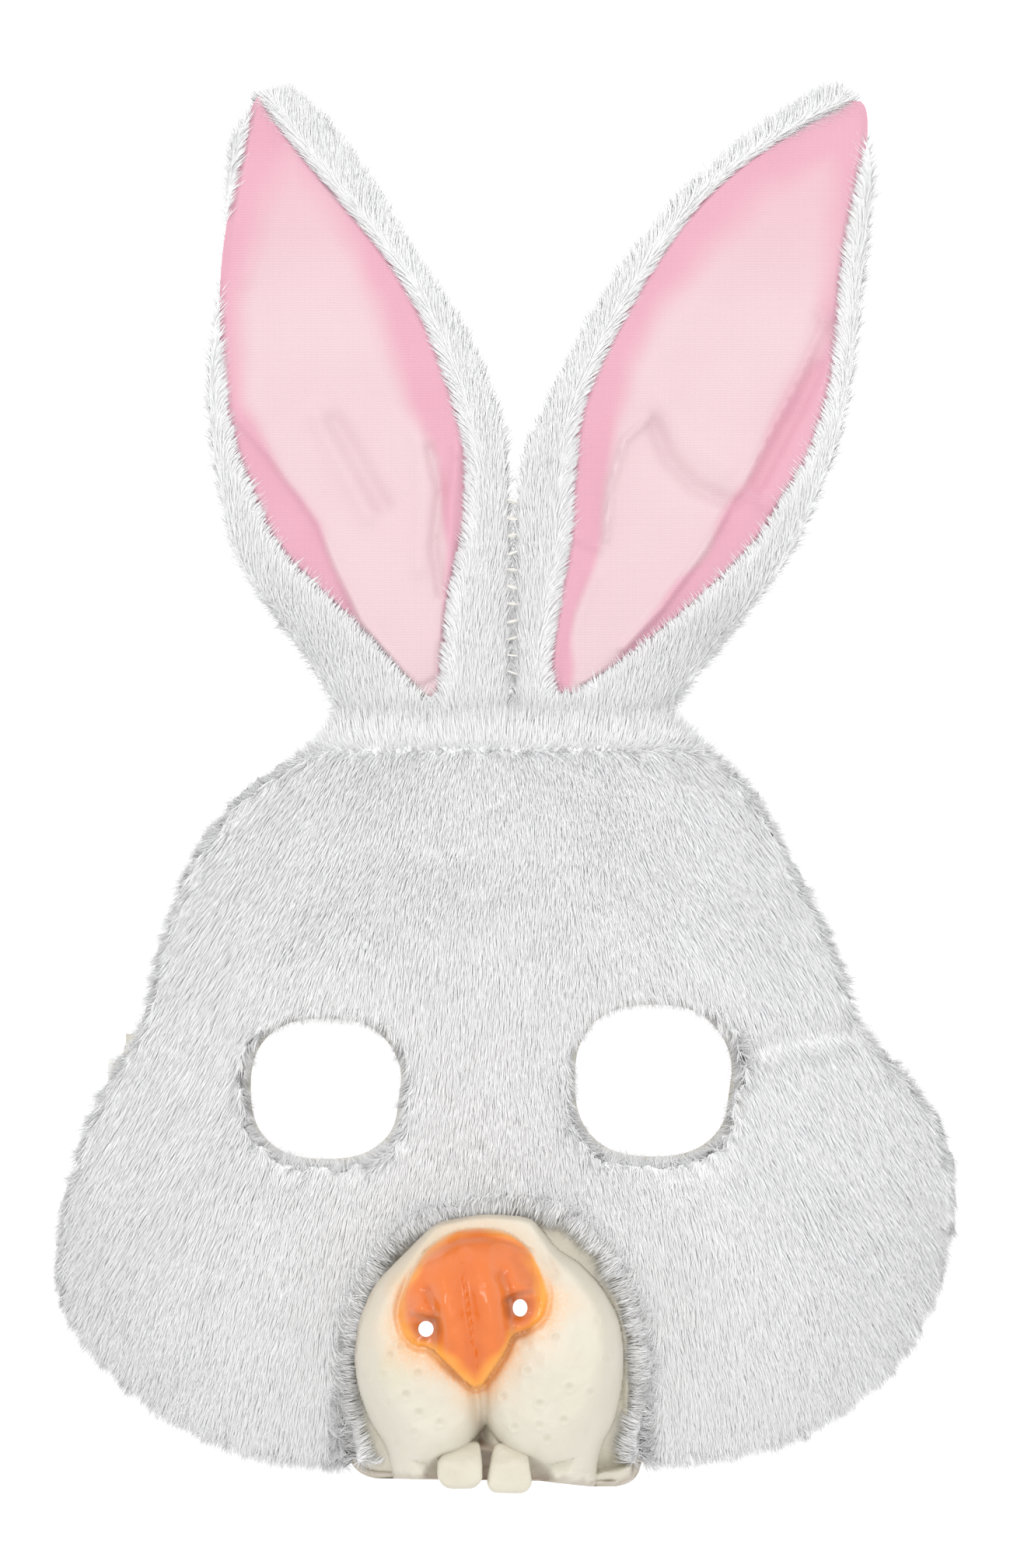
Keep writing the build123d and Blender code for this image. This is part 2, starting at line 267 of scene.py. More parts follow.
# %% [markdown]
# ## Materials
# Each finish is a small node network. What several finishes share is a node group: the mottle gives a
# colour that drifts from place to place with a fine height for the bump, and the weave gives threads.

# %% Shared node groups
def node_group(name, inputs, outputs):
    """An empty group with its sockets, and its two ends."""
    group = bpy.data.node_groups.new(name, "ShaderNodeTree")
    kinds = {"c": "NodeSocketColor", "f": "NodeSocketFloat", "v": "NodeSocketVector"}
    for label, kind, value in inputs:
        socket = group.interface.new_socket(label, in_out="INPUT", socket_type=kinds[kind])
        if value is not None:
            socket.default_value = value
    for label, kind in outputs:
        group.interface.new_socket(label, in_out="OUTPUT", socket_type=kinds[kind])
    return group, group.nodes.new("NodeGroupInput"), group.nodes.new("NodeGroupOutput")


def colour_mix(tree, factor, a, b):
    """A mix of two colours. Each argument is a socket or a value."""
    mix = tree.nodes.new("ShaderNodeMix")
    mix.data_type = "RGBA"
    for label, given in (("Factor", factor), ("A", a), ("B", b)):
        socket = next(s for s in mix.inputs if s.name == label and s.enabled)
        if isinstance(given, bpy.types.NodeSocket):
            tree.links.new(given, socket)
        else:
            socket.default_value = given
    return next(s for s in mix.outputs if s.enabled)


def maths(tree, operation, *given):
    """A math node on sockets or numbers."""
    node_made = tree.nodes.new("ShaderNodeMath")
    node_made.operation = operation
    for socket, value in zip(node_made.inputs, given):
        if isinstance(value, bpy.types.NodeSocket):
            tree.links.new(value, socket)
        else:
            socket.default_value = value
    return node_made.outputs[0]


def mottle_group():
    """Cloudy variation between two colours, with a fine height."""
    group, into, out = node_group(
        "mottle",
        [("Light", "c", None), ("Dark", "c", None), ("Cloud Scale", "f", 40.0), ("Fine Scale", "f", 900.0)],
        [("Color", "c"), ("Mask", "f"), ("Height", "f")],
    )
    place = group.nodes.new("ShaderNodeTexCoord")
    cloud, fine = group.nodes.new("ShaderNodeTexNoise"), group.nodes.new("ShaderNodeTexNoise")
    cloud.inputs["Detail"].default_value = 5.0
    fine.inputs["Detail"].default_value = 3.0
    for texture, scale in ((cloud, "Cloud Scale"), (fine, "Fine Scale")):
        group.links.new(place.outputs["Object"], texture.inputs["Vector"])
        group.links.new(into.outputs[scale], texture.inputs["Scale"])
    mixed = colour_mix(group, cloud.outputs["Fac"], into.outputs["Light"], into.outputs["Dark"])
    group.links.new(mixed, out.inputs["Color"])
    group.links.new(cloud.outputs["Fac"], out.inputs["Mask"])
    group.links.new(fine.outputs["Fac"], out.inputs["Height"])
    return group


def weave_group():
    """Threads over and under each other on the cloth's own map, which is in millimetres."""
    group, into, out = node_group(
        "weave",
        [("Cloth", "v", None), ("Across", "f", 1.0), ("Along", "f", 1.0)],
        [("Height", "f")],
    )
    heights = []
    for direction, scale in (("X", "Across"), ("Y", "Along")):
        threads = group.nodes.new("ShaderNodeTexWave")
        threads.bands_direction = direction
        threads.inputs["Distortion"].default_value = 0.6
        threads.inputs["Detail"].default_value = 1.0
        group.links.new(into.outputs["Cloth"], threads.inputs["Vector"])
        group.links.new(into.outputs[scale], threads.inputs["Scale"])
        heights.append(threads.outputs["Fac"])
    group.links.new(maths(group, "MULTIPLY", *heights), out.inputs["Height"])
    return group


MOTTLE = mottle_group()
WEAVE = weave_group()

# %% Finishes
def finish(name, roughness, sheen=0.0, coat=0.0):
    """A new material with its uniform values set on the shader's own sockets."""
    material = bpy.data.materials.new(name)
    material.use_nodes = True
    shader = material.node_tree.nodes["Principled BSDF"]
    shader.inputs["Roughness"].default_value = roughness
    shader.inputs["Sheen Weight"].default_value = sheen
    shader.inputs["Coat Weight"].default_value = coat
    return material, shader


def mottle_node(tree, light, dark, cloud, fine):
    """The mottle group placed in a material."""
    group = tree.nodes.new("ShaderNodeGroup")
    group.node_tree = MOTTLE
    group.inputs["Light"].default_value = (*light, 1)
    group.inputs["Dark"].default_value = (*dark, 1)
    group.inputs["Cloud Scale"].default_value = cloud
    group.inputs["Fine Scale"].default_value = fine
    return group


def weave_height(tree, across, along):
    """The weave group placed in a material, on the piece's own map."""
    cloth = tree.nodes.new("ShaderNodeUVMap")
    weave = tree.nodes.new("ShaderNodeGroup")
    weave.node_tree = WEAVE
    weave.inputs["Across"].default_value = across
    weave.inputs["Along"].default_value = along
    tree.links.new(cloth.outputs["UV"], weave.inputs["Cloth"])
    return weave.outputs["Height"]


def bump_into(tree, shader, height, millimetres):
    """A bump node that feeds the shader's normal."""
    relief = tree.nodes.new("ShaderNodeBump")
    relief.inputs["Strength"].default_value = 1.0
    relief.inputs["Distance"].default_value = millimetres * MM
    tree.links.new(height, relief.inputs["Height"])
    tree.links.new(relief.outputs["Normal"], shader.inputs["Normal"])


def mottled(name, light, dark, cloud, fine, bump, roughness, **more):
    """A finish whose colour and bump come from the mottle group."""
    material, shader = finish(name, roughness, **more)
    tree = material.node_tree
    group = mottle_node(tree, light, dark, cloud, fine)
    tree.links.new(group.outputs["Color"], shader.inputs["Base Color"])
    bump_into(tree, shader, group.outputs["Height"], bump)
    return material


mat_backing = mottled("pile_backing", (0.95, 0.952, 0.957), (0.92, 0.924, 0.932), 220, 1400, 0.5, 0.95)
mat_latex = mottled("bare_latex", (0.60, 0.57, 0.48), (0.50, 0.46, 0.37), 60, 900, 0.15, 0.5)
mat_foam = mottled("foam_sheet", (0.84, 0.82, 0.76), (0.74, 0.71, 0.63), 90, 1600, 0.4, 0.95)
mat_thread = mottled("sewing_thread", (0.80, 0.79, 0.75), (0.66, 0.64, 0.58), 300, 4000, 0.05, 0.6, sheen=0.3)
mat_rivet = mottled("rivet_plastic", (0.82, 0.82, 0.80), (0.76, 0.76, 0.73), 150, 2500, 0.02, 0.3)
mat_glue = mottled("dried_glue", (0.62, 0.58, 0.50), (0.36, 0.30, 0.24), 260, 1800, 0.2, 0.35)
mat_floor = mottled("pale_floor", (0.92, 0.92, 0.92), (0.88, 0.88, 0.88), 3, 60, 0.2, 0.8)
floor.data.materials.append(mat_floor)


def pile_tint(name, colour):
    """One tint of hair: plain values, because each hair is far smaller than any pattern."""
    material, shader = finish(name, 0.9, sheen=0.2)
    shader.inputs["Base Color"].default_value = (*colour, 1)
    shader.inputs["Specular IOR Level"].default_value = 0.2
    return material


PILE_TINTS = [
    pile_tint("hair_white", (0.955, 0.957, 0.962)),
    pile_tint("hair_shade", (0.935, 0.938, 0.945)),
    pile_tint("hair_warm", (0.955, 0.95, 0.942)),
    # The grey tint for hair at cut edges is painted shade.
    pile_tint("hair_rim_shade", (0.70, 0.66, 0.60)),
]

# %% [markdown]
# ## The pile
# Fake fur is a knitted backing with thousands of short hairs. Each hair here is a slim closed blade of four
# triangles. It leans with the nap, turns its flat side outwards and takes its normal from the cloth under it,
# as a soft mass of hair does. At an edge the hair is finer, denser and stands up more.

# %% Growing hair on a piece
HAIR_CORNERS = np.array([(0, 3, 1), (1, 3, 2), (2, 3, 0), (0, 1, 2)])
MOST_TRIANGLES = 190000
ROOT_DEPTH = 0.3
UNSHADED_TINT_SHARES = (0.66, 0.17, 0.17)
RIM_SHADE_TINT = 3


def zero_everywhere(points):
    """Zero at every point: no hair takes the shade tint and none grows longer."""
    return np.zeros(len(points))


def grow_pile(
    name, ground, keep, nap, per_mm2, length, seed,
    rim_shade=zero_everywhere, longer=zero_everywhere, width=0.34, ruffle=0.06,
):
    """Hair on the part of ground that keep(points, normals) picks, in pieces small enough to export."""
    draw = np.random.default_rng(seed)
    points, normals, faces = points_of(ground), normals_of(ground), triangles_of(ground)
    a, b, c = points[faces[:, 0]], points[faces[:, 1]], points[faces[:, 2]]
    area = np.linalg.norm(np.cross(b - a, c - a), axis=1) / 2
    at_rim = 1 - smoothstep(np.abs(normals[faces[:, 0], 1]), 0.45, 0.9)
    area = area * (1 + 0.6 * at_rim)
    count = int(area.sum() * per_mm2)
    chosen = draw.choice(len(faces), count, p=area / area.sum())
    u, v = draw.random((2, count))
    over = u + v > 1
    u[over], v[over] = 1 - u[over], 1 - v[over]
    weights = np.stack([1 - u - v, u, v], axis=1)
    root = sum(weights[:, k : k + 1] * points[faces[chosen, k]] for k in range(3))
    normal = unit(sum(weights[:, k : k + 1] * normals[faces[chosen, k]] for k in range(3)))
    good = keep(root, normal)
    root, normal = root[good], normal[good]
    count = len(root)
    rim = (1 - smoothstep(np.abs(normal[:, 1]), 0.45, 0.9))[:, None]
    flow = nap(root)
    flow = flow - normal * np.sum(flow * normal, axis=1, keepdims=True)
    lift = 0.28 + 0.2 * rim
    way = normal * lift + flow * (1 - lift) + ruffle * drift(root, 3.5) + ruffle * drift(root + 50, 12.0)
    way = unit(way + draw.normal(0, 1, (count, 3)) * (0.045 + 0.08 * rim))
    long = length * (0.75 + 0.5 * draw.random(count)) * (1 + 0.1 * drift(root, 5.0)[:, 0] + longer(root))
    thick = width * (1 - 0.45 * rim[:, 0])
    turn = draw.normal(0, 0.3, count)[:, None]
    flat = unit(np.cross(way, normal))
    flat = unit(flat * np.cos(turn) + np.cross(way, flat) * np.sin(turn))
    outer = np.cross(flat, way)
    spike, bent = np.empty((count, 4, 3)), np.empty((count, 4, 3))
    spike[:, 0] = root + flat * thick[:, None] / 2 - way * ROOT_DEPTH
    spike[:, 1] = root - flat * thick[:, None] / 2 - way * ROOT_DEPTH
    spike[:, 2] = root - outer * thick[:, None] * 0.4 - way * ROOT_DEPTH
    spike[:, 3] = root + way * long[:, None]
    normal = unit(normal + np.array([0, -1.1, 0]) * smoothstep(-normal[:, 1], -0.3, 0.1)[:, None] * rim)
    bent[:, 0], bent[:, 1] = unit(normal + 0.3 * flat), unit(normal - 0.3 * flat)
    bent[:, 2], bent[:, 3] = normal, unit(normal + way * 0.1)
    tint = draw.choice(3, count, p=UNSHADED_TINT_SHARES)
    # Hair picked near cut edges takes the grey tint: painted shade.
    tint[draw.random(count) < rim_shade(root)] = RIM_SHADE_TINT
    parts = max(1, math.ceil(count * 4 / MOST_TRIANGLES))
    made = []
    for i, part in enumerate(np.array_split(draw.permutation(count), parts)):
        base = np.arange(len(part))[:, None, None] * 4
        label = f"{name}_{i + 1}" if parts > 1 else name
        hairs = mesh_piece(label, spike[part].reshape(-1, 3), (base + HAIR_CORNERS).reshape(-1, 3))
        for material in PILE_TINTS:
            hairs.data.materials.append(material)
        hairs.data.polygons.foreach_set("material_index", np.repeat(tint[part], 4).astype(np.int32))
        hairs.data.normals_split_custom_set_from_vertices(bent[part].reshape(-1, 3).astype(np.float32))
        made.append(hairs)
    print(name, "hairs:", count, "pieces:", parts)
    return made


# %% [markdown]
# ## The plush on the face
# The plush node is a plain slab over the shell. Its copy is remeshed into even cells, softened, and drawn in
# by the depth of the pile, so that the hair tips and not the cloth reach the slab's surface. A soft crease
# runs from the right eye to the temple.

# %% Face plush backing
PILE_DEPTH = 1.3
RIM_DEPTH = 1.6
TEMPLE_CREASE = [(53, 8), (60, 9.5), (68, 11.5), (78, 13)]
openings = {o["name"]: np.array(o["box_m"]) / MM for o in frame["record"]["physics"]["openings"]}


def polyline_distance(x, z, route, closed=False):
    """How far each point is from a run of straight lines, in the plane of the face."""
    corners = np.asarray(route, float)
    nexts = np.roll(corners, -1, axis=0) if closed else corners[1:]
    best = np.full(np.shape(x), 1e9)
    for (ax, az), (bx, bz) in zip(corners, nexts):
        dx, dz = bx - ax, bz - az
        t = np.clip(((x - ax) * dx + (z - az) * dz) / max(dx * dx + dz * dz, 1e-9), 0, 1)
        best = np.minimum(best, np.hypot(x - ax - t * dx, z - az - t * dz))
    return best


def inside_depth(x, z, outline):
    """How far inside a closed outline each point is. It is less than 0 outside."""
    inside = np.zeros(np.shape(x), bool)
    corners = np.asarray(outline, float)
    for (ax, az), (bx, bz) in zip(corners, np.roll(corners, -1, axis=0)):
        rise = bz - az if abs(bz - az) > 1e-9 else 1e-9
        inside ^= ((az > z) != (bz > z)) & (x < ax + (z - az) * (bx - ax) / rise)
    best = polyline_distance(x, z, outline, closed=True)
    return np.where(inside, best, -best)


def stroke(x, z, route, width):
    """1 along a line drawn on the face, falling off over width."""
    return np.exp(-((polyline_distance(x, z, route) / width) ** 2))


def remeshed_copy(name, source, cell):
    """One closed mesh of even cells round a copy of a CAD node."""
    piece = bpy.data.objects.new(name, node[source].data.copy())
    bpy.context.scene.collection.objects.link(piece)
    piece.data.materials.clear()
    only(piece)
    bpy.ops.object.mode_set(mode="EDIT")
    bpy.ops.mesh.select_all(action="SELECT")
    bpy.ops.mesh.remove_doubles(threshold=0.00002)
    bpy.ops.object.mode_set(mode="OBJECT")
    piece.data.remesh_voxel_size = cell * MM
    bpy.ops.object.voxel_remesh()
    return piece


face_backing = remeshed_copy("face_plush_backing", "face_plush", 1.5)
soften(face_backing, 6)
spots, outward = points_of(face_backing), normals_of(face_backing)
front = smoothstep(-outward[:, 1], -0.75, -0.2)
rim = 1 - smoothstep(-outward[:, 1], 0.1, 0.7)
drawn_in = front * (PILE_DEPTH + (RIM_DEPTH - PILE_DEPTH) * rim) + 0.5 * rim * front * drift(spots, 4.0)[:, 0]
crease = 1.6 * stroke(spots[:, 0], spots[:, 2], TEMPLE_CREASE, 3.5) * (outward[:, 1] < -0.3)
swell = 0.5 * drift(spots, 26.0)[:, 1] * (outward[:, 1] < -0.3)
set_points(face_backing, spots - outward * (drawn_in + crease + swell)[:, None])
bpy.ops.object.shade_smooth()
face_backing.data.materials.append(mat_backing)
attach(face_backing, "mask")
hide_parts("face_plush")
print("face backing faces:", len(face_backing.data.polygons))

# %% Depth of the shell under the snout
def fitted_depth(name, middle, reach, degree=4):
    """A smooth depth y(x, z) through the front of a CAD node near middle, also across a hole in it."""
    points, normals = points_of(node[name]), normals_of(node[name])
    near = (normals[:, 1] < -0.3) & (np.hypot(points[:, 0] - middle[0], points[:, 2] - middle[1]) < reach)
    powers = [(i, j) for i in range(degree + 1) for j in range(degree + 1 - i)]

    def terms(x, z):
        u, v = (x - middle[0]) / reach, (z - middle[1]) / reach
        return np.stack([u**i * v**j for i, j in powers], axis=-1)

    share, *_ = np.linalg.lstsq(terms(points[near, 0], points[near, 2]), points[near, 1], rcond=None)
    return lambda x, z: terms(x, z) @ share


SNOUT_MIDDLE = (-3.0, -57.0)
skin_depth = fitted_depth("face_shell", SNOUT_MIDDLE, 46.0)
print("shell depth at the snout's middle:", float(skin_depth(*np.array(SNOUT_MIDDLE))))

# %% Face pile
SEAM_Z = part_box("face_plush")[1].z / MM


def face_nap(points):
    """The nap runs down the face and a little outwards, turns up below the ears and in towards the snout."""
    flow = np.zeros_like(points)
    flow[:, 2] = 1.8 * smoothstep(points[:, 2], SEAM_Z - 9, SEAM_Z - 3) - 0.9
    flow[:, 0] += 0.004 * points[:, 0]
    near = smoothstep(inside_depth(points[:, 0], points[:, 2], snout_outline), -5.5, -2.0)[:, None]
    towards = np.stack([-3.0 - points[:, 0], 0 * points[:, 0] - 8.0, -58.0 - points[:, 2]], 1)
    return flow * (1 - near) + unit(towards) * near


def eye_rim(points):
    """1 at the edge of an eye hole and less than 1 outside it."""
    near = np.zeros(len(points))
    for side in ("left", "right"):
        low, high = openings[f"eye_hole_{side}"]
        middle, half = (low + high) / 2, (high - low) / 2 + 6.0
        across = np.abs((points[:, 0] - middle[0]) / half[0]) ** 2.5
        up = np.abs((points[:, 2] - middle[2]) / half[2]) ** 2.5
        near = np.maximum(near, 1 - smoothstep((across + up) ** 0.4, 1.03, 1.16))
    return near


def outline_of(name, count):
    """A CAD node's silhouette from the front, read from its cuts at many heights."""
    low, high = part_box(name)
    levels = np.linspace(low.z / MM + 0.15, high.z / MM - 0.15, count)
    left, right = spans([name], levels)
    return np.concatenate([np.stack([left, levels], 1), np.stack([right, levels], 1)[::-1]])


def spans(names, heights):
    """Lowest and highest x of the nodes' cut at each height, in millimetres."""
    corners = np.concatenate([points_of(node[n])[triangles_of(node[n])] for n in names])
    low, high = np.full(len(heights), np.nan), np.full(len(heights), np.nan)
    for i, z in enumerate(heights):
        xs = []
        for j in range(3):
            p, q = corners[:, j], corners[:, (j + 1) % 3]
            cut = (p[:, 2] - z) * (q[:, 2] - z) < 0
            t = (z - p[cut, 2]) / (q[cut, 2] - p[cut, 2])
            xs.append(p[cut, 0] + t * (q[cut, 0] - p[cut, 0]))
        xs = np.concatenate(xs)
        if len(xs):
            low[i], high[i] = xs.min(), xs.max()
    known = ~np.isnan(low)
    return np.interp(heights, heights[known], low[known]), np.interp(heights, heights[known], high[known])


snout_outline = outline_of("muzzle", 140)


def face_rim_shade(points):
    """Some hair at the cut edges round the eyes and the snout takes a grey tint: painted shade at those rims."""
    near_snout = 1 - smoothstep(-inside_depth(points[:, 0], points[:, 2], snout_outline), 0.3, 2.6)
    return 0.06 * eye_rim(points) + 0.08 * near_snout


def face_longer(points):
    """Hair is longer where it closes over the seam below the ears and over the snout's flange."""
    near_snout = smoothstep(inside_depth(points[:, 0], points[:, 2], snout_outline), -3.0, -1.0)
    return 0.5 * smoothstep(points[:, 2], SEAM_Z - 6, SEAM_Z - 2) + 0.45 * near_snout


face_pile = grow_pile(
    "face_pile", face_backing, lambda p, n: n[:, 1] < 0.45, face_nap, 7.6, 3.7, 11,
    face_rim_shade, face_longer, width=0.29,
)


def cut_below(piece, lowest):
    """Takes away every face of a piece that has a point below a height."""
    z = points_of(piece)[:, 2]
    gone = np.array([min(z[v] for v in p.vertices) < lowest for p in piece.data.polygons])
    if gone.any():
        only(piece)
        piece.data.vertices.foreach_set("select", np.zeros(len(z), bool))
        piece.data.edges.foreach_set("select", np.zeros(len(piece.data.edges), bool))
        piece.data.polygons.foreach_set("select", gone)
        bpy.ops.object.mode_set(mode="EDIT")
        bpy.ops.mesh.select_mode(type="FACE")
        bpy.ops.mesh.delete(type="FACE")
        bpy.ops.object.mode_set(mode="OBJECT")


RING_TURNS = 420
RING_SIDES = 8


def ring_along(name, route, inwards, forwards, radius, seed_size, lower_shift=0.0, lowest=-200.0):
    """A lumpy tube that follows a flat outline, pushed inwards and forwards from it, and ends at a height."""
    closed = np.concatenate([route, route[:1]])
    lengths = np.concatenate([[0], np.cumsum(np.linalg.norm(np.diff(closed, axis=0), axis=1))])
    turns, sides = RING_TURNS, RING_SIDES
    at = np.linspace(0, lengths[-1], turns, endpoint=False)
    x, z = (np.interp(at, lengths, closed[:, k]) for k in (0, 1))
    inner = np.stack([np.roll(z, 1) - np.roll(z, -1), np.roll(x, -1) - np.roll(x, 1)], 1)
    inner = inner / np.linalg.norm(inner, axis=1, keepdims=True)
    if inside_depth(x + inner[:, 0], z + inner[:, 1], route).mean() < 0:
        inner = -inner
    wander = drift(np.stack([x, z, x], 1), 2 * seed_size)
    shift = inwards + lower_shift * smoothstep(-z, 66, 80) + 0.3 * radius * wander[:, 0]
    x, z = x + inner[:, 0] * shift, z + inner[:, 1] * shift
    y = skin_depth(x, z) - forwards
    lump = 0.8 + 0.5 * drift(np.stack([x, z, z], 1), seed_size)[:, 1] + 0.2 * wander[:, 2]
    lump = radius * np.clip(lump, 0.15, 1.4)
    turn = 2 * math.pi * np.arange(sides) / sides
    ring = np.stack(
        [
            x[:, None] + inner[:, :1] * np.cos(turn) * lump[:, None],
            y[:, None] + np.sin(turn) * lump[:, None] * 0.8,
            z[:, None] + inner[:, 1:] * np.cos(turn) * lump[:, None],
        ],
        axis=2,
    )
    i, j = np.meshgrid(np.arange(turns), np.arange(sides), indexing="ij")
    a, b = (i + 1) % turns, (j + 1) % sides
    quads = np.stack([i * sides + j, a * sides + j, a * sides + b, i * sides + b], axis=2)
    piece = mesh_piece(name, ring.reshape(-1, 3), quads.reshape(-1, 4))
    cut_below(piece, lowest)
    close_ends(piece)
    bpy.ops.object.shade_smooth()
    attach(piece, "mask")
    return piece


plush_edge = ring_along("plush_turned_edge", snout_outline, -0.8, 3.2, 1.8, 4.0, 3.4, -83.5)
plush_edge.data.materials.append(mat_backing)
face_pile += grow_pile("collar_pile", plush_edge, lambda p, n: n[:, 1] < 0.3, face_nap, 7.0, 3.2, 12)
for hairs in face_pile:
    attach(hairs, "mask")

# %% [markdown]
# ## The ears
# An ear is a fur panel that wraps round a foam sheet, with satin sewn over the front. Its cross-section
# changes all the way up, so each layer is lofted: rows of points across the ear, one row per height, with
# widths read from the plush and lining nodes. Lower and upper halves are separate pieces, cut at one height.

# %% Ear shapes
EAR_SPLIT = 110.0
EAR_FOOT = 75.0
# Each ear's middle at its foot, and how far it leans out for each millimetre of height
EAR_LEAN = {"left": (-17.0, -0.267), "right": (19.0, 0.42)}
FOLD_GAP = (122, 137)
SIDES = ("left", "right")
PARTS = ("lower", "upper")
EAR_MIDDLE_Y = (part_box("ear_plush_lower_left")[0].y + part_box("ear_plush_lower_left")[1].y) / 2 / MM
LINING_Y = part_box("ear_lining_lower_left")[0].y / MM
joints = {j["name"]: j for j in frame["joints"]}
SEAM_X = Vector(joints["left_ear_flop"]["pos_m"]).x / MM


def rows_between(low, high, count):
    """Heights from low to high, closer together near the tip."""
    t = np.linspace(0, 1, count)
    return low + (high - low) * (1 - (1 - t) ** 1.6)


def ear_bend(points, side):
    """The ear's own curve: its edges curl forwards, its tip nods back and its foot follows the brow."""
    x, y, z = points.T
    foot_middle, lean = EAR_LEAN[side]
    middle = foot_middle + lean * (z - 80)
    across = (x - middle) / 28.0
    up = np.clip((z - 80) / 140, 0, 1)
    foot = 1 - smoothstep(z, 80, 112)
    curl = 2.6 * np.clip(across**2, 0, 1.6) * smoothstep(z, 95, 140)
    return np.stack([x, y - curl + 3.5 * up**2 + 5.0 * foot * (x / 38) ** 2, z], axis=1)


def loft_grid(low, high, heights, columns, front, back, side):
    """Rows of points round a closed form, given the depth of its front and back at (share across, x, z)."""
    share = np.sin(np.linspace(-math.pi / 2, math.pi / 2, columns))
    z = np.repeat(heights[:, None], columns, axis=1)
    x = (low[:, None] + high[:, None]) / 2 + share[None, :] * (high - low)[:, None] / 2
    s = np.broadcast_to(share, x.shape)
    near = np.stack([x, front(s, x, z), z], axis=2)
    far = np.stack([x, back(s, x, z), z], axis=2)[:, ::-1]
    ring = np.concatenate([near, far[:, 1:-1]], axis=1)
    return ear_bend(ring.reshape(-1, 3), side).reshape(ring.shape)


def skin_grid(name, ring):
    """A smooth closed piece from rows of points, its two ends filled."""
    rows, around = ring.shape[:2]
    i, j = np.meshgrid(np.arange(rows - 1), np.arange(around), indexing="ij")
    k = (j + 1) % around
    above = (i + 1) * around
    quads = np.stack([i * around + j, i * around + k, above + k, above + j], axis=2)
    piece = mesh_piece(name, ring.reshape(-1, 3), quads.reshape(-1, 4))
    close_ends(piece)
    bpy.ops.object.shade_smooth_by_angle(angle=math.radians(70))
    return piece


def across_joint(piece):
    """Bakes the piece's placement into its mesh."""
    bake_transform(piece)


def over_the_fold(levels, low, high):
    """Widths with a straight run across the fold, where the halves of an ear leave a gap."""
    plain = (levels < FOLD_GAP[0]) | (levels > FOLD_GAP[1])
    return np.interp(levels, levels[plain], low[plain]), np.interp(levels, levels[plain], high[plain])


class Ear:
    """Heights and outlines of one ear, read from its nodes."""

    def __init__(self, side):
        plush = [f"ear_plush_{part}_{side}" for part in PARTS]
        lining = [f"ear_lining_{part}_{side}" for part in PARTS]
        self.side = side
        self.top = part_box(plush[1])[1].z / MM
        self.lining_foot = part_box(lining[0])[0].z / MM
        self.lining_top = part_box(lining[1])[1].z / MM
        self.heights = rows_between(EAR_FOOT, self.top - 1.0, 125)
        self.cut = int(np.argmin(np.abs(self.heights - EAR_SPLIT)))
        self.heights[self.cut] = EAR_SPLIT
        levels = np.maximum(self.heights, 80.5)
        low, high = over_the_fold(levels, *spans(plush, levels))
        narrow = (high - low) * 0.3
        at_seam = smoothstep(self.heights, 134, 150) + 0.8
        free = np.minimum(1.6, narrow)
        seam = np.minimum(at_seam, narrow)
        self.low = low + (free if side == "left" else seam)
        self.high = high - (seam if side == "left" else free)
        self.lining_low, self.lining_high = over_the_fold(self.heights, *spans(lining, self.heights))

    def satin_depth(self, x, z):
        """How far inside the satin's outline a point is."""
        a = np.interp(z, self.heights, self.lining_low)
        b = np.interp(z, self.heights, self.lining_high)
        ends = np.minimum(z - self.lining_foot, self.lining_top - z)
        return np.minimum(np.minimum(x - a, b - x), ends)

    def rows(self, part):
        """The slice of heights of one part."""
        return slice(0, self.cut + 1) if part == "lower" else slice(self.cut, None)


ears = {side: Ear(side) for side in SIDES}
print("ear tops:", [round(ear.top, 1) for ear in ears.values()])

# %% Ear plush backing and pile
BORDER = 2.6
POCKET = 2.5


def crown(s):
    """A round shoulder at both edges of a flat form."""
    return np.sqrt(np.clip(1 - np.abs(s) ** 3, 0, 1))


def ear_nap_for(ear):
    """The nap runs up the ear, and at the satin's border it leans over the satin."""

    def ear_nap(points):
        x, _, z = points.T
        flow = np.zeros_like(points)
        flow[:, 2] = 0.7
        a, b = np.interp(z, ear.heights, ear.lining_low), np.interp(z, ear.heights, ear.lining_high)
        near = smoothstep(ear.satin_depth(x, z), -2.5, -0.5)
        flow[:, 0] += near * 0.9 * np.sign((a + b) / 2 - x)
        return flow

    return ear_nap


